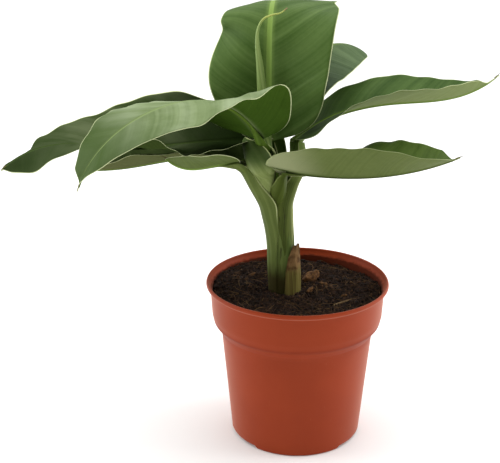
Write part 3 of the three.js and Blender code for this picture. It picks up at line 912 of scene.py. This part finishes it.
@dataclass
class Leaf:
    """One leaf: channelled stalk or sheath, midrib and blade.

    Angles are in degrees. heading turns from +X towards +Y and pitch is the midrib's climb, each at equal
    steps from stalk to tip; left and right are the fold of each half above the flat.
    """

    name: str
    base: tuple[float, float, float]
    length: float
    half_width: float
    heading: tuple[float, ...]
    pitch: tuple[float, ...]
    left: tuple[float, ...]
    right: tuple[float, ...]
    curl: tuple[float, float]
    lobe: tuple[float, float]
    outline: tuple[float, float, float]  # shoulder, start of the taper and its bluntness
    # x, y, z, radius and how many degrees the channel reaches round on each side, from below upwards
    stalk: tuple[tuple[float, float, float, float, float], ...]
    facing: float  # which way the stalk's back faces at its foot
    neck: tuple[float, float] = (3.0, 92.0)  # radius and reach round where the stalk meets the blade
    ripples: tuple[Ripple, ...] = ()
    swells: tuple[Ripple, ...] = ()
    point: float = 1.0  # share of the midrib after which only a thin pointed end is left
    crease: float = 0.45  # height of the long folds between the side veins
    wave: float = 0.5  # height of the small waves along the margins
    skew: float = 0.0
    stretches: tuple[str, ...] = ()
    finish: BladeFinish = BladeFinish()
    flesh: StalkFinish = StalkFinish()
    rib_width: float = 2.6
    rib_taper: float = 0.82
    groove: float = 0.9  # depth of the channel over the midrib
    wander: float = 0.7  # height of the slow unevenness of the blade
    seed: int = 1

    ROWS = 150
    COLUMNS = 61
    STALK_ROWS = 56
    STALK_COLUMNS = 27  # on each face of its wall
    MIDRIB_STEPS = 240
    THICKNESS = 0.5
    LEAST = (1.6, 0.35)  # least half width at the stalk and at the tip

    def directions(self, t: Array) -> tuple[Array, Array, Array]:
        """The midrib's tangent, side and upward directions at t.

        Tangent is (cos p cos h, cos p sin h, sin p) for heading h and pitch p, side is (sin h, -cos h, 0),
        and up is side cross tangent.
        """
        h, p = np.radians(along(self.heading, t)), np.radians(along(self.pitch, t))
        tangent = xyz(np.cos(p) * np.cos(h), np.cos(p) * np.sin(h), np.sin(p))
        side = xyz(np.sin(h), -np.cos(h), 0.0)
        return tangent, side, np.cross(side, tangent)

    def midrib(self, t: Array) -> Array:
        """Places along the midrib: the base plus the running sum of short steps along its tangent."""
        ticks = np.linspace(0, 1, self.MIDRIB_STEPS + 1)
        steps = self.directions((ticks[1:] + ticks[:-1]) / 2)[0] * self.length / self.MIDRIB_STEPS
        places = np.cumsum(np.concatenate([[self.base], steps]), axis=0)
        return np.stack([np.interp(t, ticks, column) for column in places.T], axis=-1)

    def rib_half(self, t: Array) -> Array:
        """Half width of the midrib, from rib_width at the stalk to a hair at the tip."""
        return self.rib_width * (1 - self.rib_taper * t**0.8)

    def width(self, t: Array, sign: Array) -> Array:
        """Half width at t: a rounded shoulder times a blunt taper, the right half wider by the skew."""
        shoulder, taper, blunt = self.outline
        rise = np.sqrt(1 - (1 - np.clip(t / shoulder, 0, 1)) ** 2)
        run = np.clip((t - taper) / (1 - taper), 0, 1)
        width = self.half_width * (1 + sign * self.skew) * rise * (1 - run**2) ** blunt
        width = width + sum(swell.at(t, sign) for swell in self.swells)
        width = width * (1 - 0.93 * ease(t, self.point - 0.025, self.point + 0.01))
        return np.maximum(width, np.where(t < 0.5, *self.LEAST))

    def surface(self, t: Array, u: Array) -> tuple[Array, dict[str, Array]]:
        """Middle surface of the blade.

        Each half leaves the midrib at its fold angle, which grows by its curl towards the margin; the
        distance out and the rise are the averages of that angle's cosine and sine over the way out. The
        lobe carries the margin back past the stalk, and ripples and small waves lift it.

        Args:
            t: places along the midrib, 0 to 1, as a column.
            u: places across, -1 at the left margin to 1 at the right, as a row.

        Returns:
            The points as a grid, and the point values that the finish reads.
        """
        tangent, side, up = (v[:, None] for v in self.directions(t[:, 0]))
        sign, out = np.sign(u + 1e-9), np.abs(u)
        right = sign > 0
        fold = np.where(right, along(self.right, t), along(self.left, t))
        curl = out * np.where(right, *self.curl[::-1])
        width = self.width(t, sign)
        share = (np.arange(8) + 0.5) / 8
        angle = np.radians(fold[..., None] + curl[..., None] * share)
        across, rise = np.cos(angle).mean(-1) * out * width, np.sin(angle).mean(-1) * out * width
        edge = np.radians(fold + curl)
        phase = self.seed * 1.7 + sign
        small = np.sin(t * self.length / 4.1 + phase) * np.sin(t * self.length / 11 + phase)
        lift = self.wave * out**4 * small + sum(ripple.at(t, sign) * out**2 for ripple in self.ripples)
        lift = lift * np.clip(width / 12, 0, 1)
        back = np.where(right, *self.lobe[::-1]) * out**1.5
        back = back * np.clip(1 - t / 0.35, 0, 1) ** 2 * self.half_width
        points = (self.midrib(t[:, 0])[:, None]
                  + side * (sign * (across - lift * np.sin(edge)))[..., None]
                  + up * (rise + lift * np.cos(edge))[..., None]
                  - tangent * back[..., None])
        from_rib = out * width
        values = {
            "vein": t * self.length - 0.5 * from_rib - 0.004 * from_rib**2 + 400 * (1 + sign),
            "inset": (1 - out) * width,
            "rib": from_rib / self.rib_half(t),
            "along": t + 0 * out,
        }
        return points, values

    def blade(self) -> Piece:
        """The blade as a thin closed body, corrugated along its veins and grooved over its midrib."""
        s = np.linspace(0, 1, self.ROWS)[:, None]
        t = s - 0.09 * np.sin(2 * np.pi * s)
        v = np.linspace(-1, 1, self.COLUMNS)[None]
        points, values = self.surface(t, v * (0.5 + 0.5 * v**2))
        up = unit(np.cross(np.gradient(points, axis=1), np.gradient(points, axis=0)))
        vein, rib, inset = values["vein"], values["rib"], values["inset"]
        from_rib = rib * self.rib_half(t)
        lattice = Lattice(self.seed)
        line = xyz(vein, 0.0, self.seed)
        relief = self.crease * lattice.at(line, 8.5) + 0.16 * lattice.at(line + 9, 3.2)
        relief = relief * ease(from_rib, 1.5, 7) * ease(inset, 0, 5)
        groove = -self.groove * np.exp(-((rib / 0.9) ** 2)) * ease(t, 0, 0.04)
        wander = self.wander * lattice.at(points, 34) * ease(inset, 0, 9) * ease(from_rib, 0, 9)
        points = points + up * (relief + groove + wander)[..., None]
        half = up * (0.5 * self.THICKNESS * ease(inset, -0.4, 1.2))[..., None]
        return slab_piece(f"blade_{self.name}", points + half, points - half, values)

    def stalk_piece(self) -> Piece:
        """Stalk and midrib in one: an arched channel that follows the stalk, then a ridge under the blade.

        Each section is an arc of the given radius and half angle about the path, backed by a second arc
        inside it; the wall is thick in the middle and thin at its margins, and solid along the midrib.
        """
        low = np.linspace(0, 1, self.STALK_ROWS)[:-1]
        high = np.concatenate([np.linspace(0.0, 0.1, 8), np.linspace(0.12, 0.985, 60)])
        _, side, up = self.directions(high)
        reach = 0.5 * self.rib_half(high) + 0.45
        ridge = self.midrib(high) - up * (0.2 * reach)[:, None]
        own, own_round = self.neck
        lower = along(np.array([*self.stalk, (*ridge[0], own, own_round)]), low)
        centre = np.concatenate([lower[:, :3], ridge])
        join = ease(high, max(0.1, 15 / self.length), -0.03)
        high_radius = reach * 1.1 * (1 - join) + own * join
        radius = np.concatenate([lower[:, 3], high_radius])[:, None]
        reach_round = np.radians(np.concatenate([lower[:, 4], own_round * join + 72 * (1 - join)]))[:, None]
        forward = unit(np.gradient(centre, axis=0))
        # the stalk's back turns to the blade's by the shorter way
        turn = (self.heading[0] - self.facing + 180) % 360 - 180
        facing = np.radians(self.facing + ease(low, 0.25, 1.0) * turn)
        sides = np.concatenate([xyz(np.sin(facing), -np.cos(facing), 0.0), side])
        sides = unit(sides - (sides * forward).sum(-1, keepdims=True) * forward)
        back = -np.cross(sides, forward)
        thick = np.concatenate([1.3 + (0.3 * lower[:, 3] - 1.3) * ease(low, 0.4, 0.9),
                                high_radius * (0.3 + 0.65 * ease(high, 0, 0.1))])[:, None]
        q = np.linspace(-1, 1, self.STALK_COLUMNS)
        angle = reach_round * q
        wall = np.minimum(0.3 + (thick - 0.3) * (1 - q**2) ** 0.6, 0.97 * radius)
        spoke = np.cos(angle)[..., None] * back[:, None] + np.sin(angle)[..., None] * sides[:, None]
        outer = centre[:, None] + radius[..., None] * spoke
        inner = centre[:, None] + (radius - wall)[..., None] * spoke
        # under the blade no margin is seen, so the distance from it grows there
        margin = (1 - np.abs(q)) * reach_round * radius
        margin = margin + 3 * ease(np.arange(len(centre)), len(low) - 4, len(low) + 6)[:, None]
        around, inset, rightward = (np.concatenate([grid, grid[:, ::-1]], axis=1)
                                    for grid in (angle * radius, margin, spoke[..., 0]))
        rings = np.concatenate([inner, outer[:, ::-1]], axis=1)
        return rings_piece(f"stalk_of_{self.name}", rings, around=around, inset=inset, height=rings[..., 2],
                           rightward=rightward, inside=np.repeat([1.0, 0.0], len(q)))

    def build(self) -> None:
        """Makes and installs the blade and the stalk."""
        nodes = [f"leaf_{self.name}_{part}" for part in self.stretches] or [f"leaf_{self.name}"]
        install(self.blade().make(self.finish.material(f"blade_{self.name}_finish")), "leaf", *nodes)
        flesh = self.flesh.material(f"stalk_{self.name}_finish")
        install(self.stalk_piece().make(flesh), "stalk", f"stalk_{self.name}")


L, R = Half.LEFT, Half.RIGHT
LEAVES = (
    Leaf("small_left", (-42, -14, 208), 51, 19, (183, 180, 168), (-2, -8, 43), (34, 41, 57), (-10, -10, -12),
         (2, 0), (0.08, 0.1), (0.31, 0.46, 0.73),
         ((-11.3, 0, 101, 8.9, 56), (-12, 0, 124, 9.5, 58), (-12.3, 0, 145, 10, 62),
          (-13.8, 0, 158, 10.2, 76), (-16.3, -0.5, 168, 9.9, 88), (-20.2, -1.8, 178, 8.8, 106),
          (-28.6, -5.2, 190.7, 6.8, 108), (-36, -9, 202.5, 5.3, 116)), facing=192, neck=(4.2, 114),
         rib_width=1.5, seed=2, finish=BladeFinish(under_dark=(66, 80, 34), under_light=(104, 120, 62)),
         # small_left's pale inner colour is painted light on its shaded rolled margin
         flesh=StalkFinish((74, 88, 36), (116, 130, 70), inner=(118, 128, 84), bruises=0.25)),
    Leaf("far_left", (-33, 5, 220), 180, 55, (159, 202, 205), (-8, -3, 11, -38), (-3, 9, 12, -48),
         (29, 27, -3, -19), (10, 8), (0.09, 0.03), (0.34, 0.44, 0.82),
         ((-14, 1.5, 158, 5.6, 100), (-16.5, 1.5, 168, 5.8, 100), (-18.4, 0.4, 179, 6, 100),
          (-21.4, -4.2, 190, 6.4, 106), (-23.2, -8.8, 201.5, 8.6, 132), (-26.8, -12.4, 211.4, 10.8, 146)),
         facing=222, neck=(7.2, 98), wave=1.2, crease=0.8,
         # far_left's rib and underside colours are darkened as painted shade
         finish=BladeFinish((42, 56, 26), (84, 98, 60), rib=(70, 90, 38), deep=(18, 30, 7), shade=0.97,
             banding=0.15, gloss=0.5, shine=0.0, margin_width=1.1, shade_end=0.6, under_dark=(40, 52, 20),
             under_light=(60, 74, 36), tip_share=0.75, tip=(42, 56, 28), painted_highlight=0.4,
             painted_highlight_colour=(116, 124, 94)),
         ripples=(Ripple(L, 0.25, 0.09, -5.6), Ripple(L, 0.5, 0.1, 0.6), Ripple(L, 0.82, 0.06, 5.1),
             Ripple(R, 0.15, 0.1, -12.6), Ripple(R, 0.4, 0.1, -1.4), Ripple(R, 0.62, 0.06, 2.8),
             Ripple(R, 0.88, 0.05, -8.7)),
         # far_left's stalk takes the darker top colour above 202 mm as painted shade
         flesh=StalkFinish((98, 114, 56), (146, 158, 100), bruises=0.15, top_above=202.0), seed=3),
    Leaf("back_right", (-3, 7, 219), 153, 40, (27, 2, -2), (34, 11, 5, 43), (-26, 13, 20, 7),
         (14, 22, 27, 34), (-7, 0), (0.05, 0), (0.38, 0.47, 0.75),
         ((-12, 0, 101, 8.7, 112), (-12.2, 0.4, 124, 9.1, 114), (-12.2, 0.5, 145, 9.7, 118),
          (-12.8, 0.3, 158, 9.6, 122), (-12.9, 0, 168, 9.4, 130), (-11.6, 0.5, 177, 8.3, 134),
          (-6.6, 1.5, 190, 7, 126), (-1.8, 3.5, 203, 7.2, 110)), facing=-12, neck=(6.4, 98), point=0.93,
         wave=0.8,
         finish=BladeFinish((38, 62, 22), (88, 112, 60), shade=0.4, gloss=0.46, shine=0.02,
             under_dark=(98, 112, 64), under_light=(132, 144, 96)),
         ripples=(Ripple(R, 0.04, 0.06, -2.5), Ripple(R, 0.6, 0.1, -0.6), Ripple(L, 0.85, 0.08, -0.9)),
         # back_right's stalk takes a lighter top colour above 190 mm as painted light where the leaves shade
         # it
         flesh=StalkFinish((54, 66, 20), (96, 108, 48), edge_highlight_share=0.85, top=(118, 140, 70),
             top_above=190.0), seed=4),
    Leaf("front_right", (-11, -24, 206), 118, 40, (-16, -17, 2), (-6, 8, 23), (-27, 26, 20), (38, 43, 20),
         (-12, 2), (0.27, 0.32), (0.28, 0.49, 0.77),
         ((-14.5, 3, 162, 4.8, 96), (-15, 1.2, 171, 5.4, 98), (-15.2, -3, 181, 6.2, 98),
          (-14.4, -8.6, 191, 6, 92), (-13.4, -15.5, 200, 5, 86)), facing=-88, neck=(3.4, 84), point=0.95,
         wave=0.8,
         ripples=(Ripple(L, 0.25, 0.1, -1.6), Ripple(L, 0.42, 0.07, 2), Ripple(L, 0.6, 0.07, -1.2),
             Ripple(L, 0.86, 0.08, 1.5), Ripple(R, 0.38, 0.14, -2)), rib_width=2.2, seed=5,
         finish=BladeFinish((52, 72, 22), (84, 104, 46), under_dark=(76, 90, 42), under_light=(106, 118, 67),
             margin=(152, 162, 112), rib=(84, 98, 50), gloss=0.42, shine=0.09, frost=0.85),
         flesh=StalkFinish((54, 66, 20), (88, 102, 42), margin=(112, 124, 66), bruises=0.4)),
    Leaf("front_left", (-26, -14, 224), 173, 44, (-144, -137, -148, -170), (60, 15, -23, -71),
         (24, 11, -1, 9), (-18, -15, -3, 23), (-5, -4), (-0.08, -0.13), (0.26, 0.46, 0.77),
         ((-15, 1.5, 164, 5, 100), (-16.8, 4, 178, 5.2, 100), (-18.2, 5.5, 194, 5.4, 100),
          (-20.8, 4.5, 211, 5.6, 100)), facing=-120, neck=(4.8, 92), crease=0.9, wave=0.9, point=0.965,
         groove=0.5, wander=2.8,
         ripples=(Ripple(L, 0.22, 0.09, 12.7), Ripple(L, 0.4, 0.05, 2.2), Ripple(L, 0.55, 0.04, -1.6),
             Ripple(L, 0.66, 0.04, 2.2), Ripple(L, 0.76, 0.05, 1.6), Ripple(R, 0.2, 0.1, 7.6)),
         stretches=("rising", "falling"), seed=6,
         # front_left's pale upper colours stand for a painted sheen; its dark saturated underside colours are
         # painted shade with light shining through
         finish=BladeFinish((88, 106, 62), (146, 162, 118), under_dark=(44, 66, 12), under_light=(66, 92, 30),
             rib=(124, 142, 90), gloss=0.5, banding=0.25, shine=0.03, shade=0.5, deep=(36, 56, 12),
             tip_share=0.9, tip=(56, 76, 30), painted_highlight=0.42, painted_highlight_colour=(170, 182, 150)),
         flesh=StalkFinish((66, 90, 22), (98, 124, 44), bruises=0.1)),
    Leaf("upright", (-21, 9, 216), 145, 44, (93, 81, 90), (92, 90, 84, -1, -59), (28, 4, -11, 0),
         (27, 29, -1, 2), (-9, 3), (-0.05, -0.09), (0.37, 0.57, 0.76),
         ((-16, 2, 160, 5, 100), (-17.5, 3.5, 178, 5.4, 100), (-18, 5.5, 192, 5.4, 98),
          (-19, 8, 205, 5.2, 92)), facing=90, neck=(4.2, 88),
         ripples=(Ripple(L, 0.5, 0.1, -11.7), Ripple(L, 0.3, 0.1, 6.5), Ripple(L, 0.66, 0.06, -2.2),
             Ripple(R, 0.55, 0.1, 4.6), Ripple(R, 0.68, 0.05, -1.4)),
         swells=(Ripple(R, 0.81, 0.05, 7.5), Ripple(L, 0.59, 0.07, -2.7)), groove=0.4, rib_taper=0.55,
         skew=0.07, stretches=("rising", "falling"), rib_width=3.0, seed=7,
         finish=BladeFinish((48, 76, 20), (102, 126, 68), rib=(134, 162, 80), banding=0.28, shine=0.07),
         # upright's stalk colours are lightened as painted light where the leaves shade it
         flesh=StalkFinish((92, 116, 44), (142, 160, 88))),
    Leaf("rear", (-16, 15, 225), 133, 33.2, (76, 47, 40), (69, 33, 5, -39), (10, -4, -14), (20, -23, -32),
         (-2, -1), (0.1, 0.1), (0.31, 0.43, 0.74),
         ((-12, 3, 160, 4.6, 100), (-13, 6, 178, 5, 100), (-12.4, 9, 195, 5, 98), (-13.4, 12, 212, 4.8, 92)),
         facing=60, neck=(3.6, 88), stretches=("rising", "falling"), rib_width=2.2, seed=8,
         finish=BladeFinish((50, 70, 42), (112, 132, 90), deep=(34, 48, 34), shade=0.95, shade_end=0.8,
             banding=0.15, shine=0.06, gloss=0.46),
         # rear's stalk colours are lightened as painted light where the leaves shade it
         flesh=StalkFinish((80, 104, 36), (120, 142, 66), bruises=0.2)),
    Leaf("low_left", (-42, 22, 199), 114, 38, (166, 180, 170), (10, -11, -1), (26, 30, 32), (25, 8, 27),
         (-18, 1), (0.1, 0.3), (0.3, 0.54, 0.75),
         ((-14, 2, 152, 6.6, 100), (-15.5, 3.5, 162, 6.6, 100), (-17.5, 5, 172, 6.4, 100),
          (-22.8, 8.5, 185.5, 6.2, 100), (-32.5, 14.5, 197.5, 6.6, 106)), facing=160, neck=(4.8, 92),
         ripples=(Ripple(L, 0.3, 0.1, 0.9), Ripple(L, 0.6, 0.1, 3.5)), rib_width=2.0, seed=9,
         finish=BladeFinish((40, 52, 24), (76, 90, 50), shade=0.5, gloss=0.46, shine=0.0,
             under_dark=(70, 76, 44), under_light=(98, 104, 68)),
         flesh=StalkFinish((48, 60, 24), (84, 98, 44), bruises=0.3)),
)


# ---- stem


@dataclass
class Stem:
    """The heart of the pseudostem, the papery stub of its oldest sheath and the rolled spear leaf."""

    # rings, and points of a ring or of a face of the shell
    heart_grid: tuple[int, int] = (110, 96)
    stub_grid: tuple[int, int] = (70, 41)
    spear_grid: tuple[int, int] = (170, 48)
    # height, centre x, radius across, radius front to back
    stations: tuple = ((100, -11.6, 7.8, 7.8), (112, -12, 8.4, 8.3), (124, -12.2, 8.8, 8.5),
                       (145, -12.2, 9.2, 8.7), (156, -13.2, 9.2, 8.6), (166, -14.6, 8.8, 8.4),
                       (174, -15.4, 7.6, 7.4), (180, -16, 5.4, 5.2))
    # height, centre x and y, radius, half angle of the stub's shell
    stub: tuple = ((101, -4.2, -4.4, 6.6, 112), (112, -4.1, -4.3, 6.5, 108), (124, -4, -4.2, 6, 98),
                   (133, -3.9, -4.2, 5.2, 84), (140, -3.5, -4.2, 4.4, 66), (146, -3, -4.2, 3.5, 54))
    stub_facing: float = -58.0
    stub_wall: float = 0.9
    # x, y, z and radius
    spear: tuple = ((-20.5, 0.5, 192, 2.6), (-22, 0.5, 214, 3.2), (-24.2, 0, 235, 3.3),
                    (-26.2, -0.8, 256, 2.9), (-27.6, -1, 272, 2.2), (-29.2, -1, 286, 1.4),
                    (-28.8, -1, 296, 0.9), (-25.2, -1.4, 303, 0.75), (-19, -2, 306, 0.65),
                    (-14, -2, 307.2, 0.5), (-9.5, -2, 310.5, 0.3))

    def heart(self) -> Piece:
        """Tube of ellipses along the stations, with slow flutes and the long overlap of inner sheaths."""
        rings, sides = self.heart_grid
        z, middle, wide, deep = (c[:, None] for c in along(self.stations, np.linspace(0, 1, rings)).T)
        angle = circle(sides)
        lap = (angle - 4.4 + 0.012 * (z - 100)) % (2 * np.pi)
        relief = 0.16 * np.sin(9 * angle + z / 40) + 0.5 * ease(lap, 0, 0.16) * ease(lap, 6.2, 3.0)
        x, y = middle + (wide + relief) * np.cos(angle), (deep + relief) * np.sin(angle)
        return rings_piece("stem_heart", xyz(x, y, z), around=angle * wide, inset=9.0, height=z,
                           rightward=np.cos(angle), inside=0.0)

    def old_sheath(self) -> Piece:
        """Curved shell hugging the stem's front right, its top torn to points and curling out."""
        rows, columns = self.stub_grid
        z, x, y, radius, half = (c[:, None] for c in along(self.stub, np.linspace(0, 1, rows)).T)
        q = np.linspace(-1, 1, columns)
        angle = math.radians(self.stub_facing) + np.radians(half) * q
        lattice = Lattice(21)
        line = xyz(4 * q, z / 14, 0.0)
        radii = radius + 0.6 * lattice.at(line, 1.0, 3) * ease(z, 108, 136)
        torn = z + 1.7 * lattice.at(line * 2, 1.0) * ease(z, 130, 145)
        outer, inner = (xyz(x + r * np.cos(angle), y + r * np.sin(angle), torn)
                        for r in (radii, radii - self.stub_wall))
        rings = np.concatenate([outer, inner[:, ::-1]], axis=1)
        return rings_piece("old_sheath_shell", rings, around=np.tile(angle * radius, 2), height=rings[..., 2])

    def spear_leaf(self) -> Piece:
        """Roll of leaf: a tube along the path whose radius steps at the roll's free edge, which winds up."""
        rings, sides = self.spear_grid
        t = np.linspace(0, 1, rings)[:, None]
        track = along(self.spear, t[:, 0])
        radius, angle = track[:, 3:], circle(sides)
        winding = (angle - 1.1 + 5.0 * t) % (2 * np.pi)
        step = 1 + 0.2 * (ease(winding, 0, 5.6) - ease(winding, 5.9, 6.28)) * ease(t, 0.75, 0.6)
        rings = tube(track[:, :3], radius * step, angle, (0, 1, 0))
        return rings_piece("rolled_spear", rings, around=winding * radius, reach=t)

    def build(self) -> None:
        """Makes and installs the three pieces."""
        install(self.heart().make(StalkFinish().material("stem_flesh")), "stem", "pseudostem")
        install(self.old_sheath().make(DryFinish().material("dry_sheath")), "old_sheath", "old_sheath")
        install(self.spear_leaf().make(SpearFinish().material("young_leaf")), "spear", "spear_leaf")


@dataclass
class DriedTips:
    """Thread-like dried ends that some leaf tips carry."""

    leaves: tuple[Leaf, ...]
    radius: float = 0.45
    # leaf, length past its tip, droop
    choices: tuple = (("front_left", 2.5, 0.2), ("small_left", 4.0, 2.4), ("front_right", 3.0, 0.4),
                      ("back_right", 2.5, -0.4), ("far_left", 2.0, 0.3))

    def build(self) -> None:
        """Makes one tapering thread past each chosen tip, joined into a piece."""
        known = {leaf.name: leaf for leaf in self.leaves}
        threads = [self.thread(known[name], length, droop) for name, length, droop in self.choices]
        dry = EarthFinish((74, 62, 34), (128, 118, 66), 3.0, 0.2, 0.7)
        install(joined("dried_tips", threads).make(dry.material("dried_tip_finish")), "leaf")

    def thread(self, leaf: Leaf, length: float, droop: float) -> Piece:
        """Thin tube from 3 mm inside the tip, straight on and bending down by the droop."""
        s = np.linspace(0, 1, 12)[:, None]
        start, end = leaf.midrib(np.array([0.975, 1.0]))
        centre = start + s * (length + 3) * unit(end - start) - droop * s**2 * [0, 0, 1]
        wide = self.radius * (1 - 0.75 * s)
        return rings_piece("thread", tube(centre, wide, circle(8) - np.pi / 2, (0.2, 0.1, 1.0)))


# ---- studio


@dataclass(frozen=True)
class Softbox:
    """One square soft light that looks at the plant. Places and sizes are in metres."""

    name: str
    place: tuple[float, float, float]
    size: float
    power: float
    aim: tuple[float, float, float] = (0.0, 0.0, 0.17)

    def build(self) -> None:
        """Puts the light into the scene."""
        light = bpy.data.lights.new(self.name, "AREA")
        light.shape, light.size, light.energy = "SQUARE", self.size, self.power
        lamp = bpy.data.objects.new(self.name, light)
        lamp.location = self.place
        lamp.rotation_euler = (Vector(self.aim) - lamp.location).to_track_quat("-Z", "Y").to_euler()
        bpy.context.scene.collection.objects.link(lamp)


@dataclass
class Studio:
    """Pale floor, soft lights, even sky and the camera. Places are in metres."""

    camera_place: tuple[float, float, float] = (-0.034, -0.720, 0.413)
    camera_pitch: float = 19.8  # degrees below the horizon
    focal_pixels: float = 1082.0
    frame_pixels: float = 500.0
    sensor: float = 36.0
    sky: float = 0.5
    floor_reach: float = 14.0
    floor_drop: float = 0.05  # millimetres under the pot
    lights: tuple[Softbox, ...] = (
        Softbox("top_light", (0.0, 1.4, 3.2), 6.0, 175.0, (0.0, 1.4, 0.0)),
        Softbox("left_light", (-1.2, 0.1, 0.6), 0.9, 9.0),
        Softbox("right_light", (1.2, 0.1, 0.6), 0.9, 10.0),
    )

    def camera(self) -> None:
        """Camera level across, looking to the rear and down."""
        data = bpy.data.cameras.new("camera")
        data.sensor_width = self.sensor
        data.lens = self.sensor * self.focal_pixels / self.frame_pixels
        data.clip_start, data.clip_end = 0.01, 60
        camera = bpy.data.objects.new("camera", data)
        camera.location = self.camera_place
        camera.rotation_euler = (math.radians(90 - self.camera_pitch), 0, 0)
        bpy.context.scene.collection.objects.link(camera)
        bpy.context.scene.camera = camera

    def floor(self) -> None:
        """Wide flat floor just under the pot."""
        corners = np.array([[-1, -1], [1, -1], [1, 1], [-1, 1]]) * self.floor_reach / METRE
        s = Shader("floor_finish")
        tone = s.mix(s.noise(60, 2) * 0.3, (250, 250, 249), (246, 246, 245))
        piece = Piece("floor", xyz(*corners.T, -self.floor_drop), [np.arange(4)[None]])
        piece.make(s.finish(tone, 0.9))

    def world(self) -> None:
        """Even white light from all round."""
        world = bpy.data.worlds.new("sky")
        world.use_nodes = True
        background = world.node_tree.nodes["Background"]
        background.inputs["Color"].default_value = (1.0, 1.0, 1.0, 1.0)
        background.inputs["Strength"].default_value = self.sky
        bpy.context.scene.world = world

    def build(self) -> None:
        """Sets up the whole studio."""
        self.camera()
        self.floor()
        self.world()
        for light in self.lights:
            light.build()
        bpy.context.scene.view_settings.view_transform = "Standard"
        bpy.context.scene.view_settings.look = "None"


def main() -> None:
    """Builds the plant, its pot and the studio."""
    logging.basicConfig(level=logging.INFO, format="%(message)s")
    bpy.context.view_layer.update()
    Studio().build()
    pot = Pot()
    pot.build(PlasticFinish())
    Soil(pot).build()
    Stem().build()
    for leaf in LEAVES:
        leaf.build()
    DriedTips(LEAVES).build()


if __name__ == "__main__":
    main()
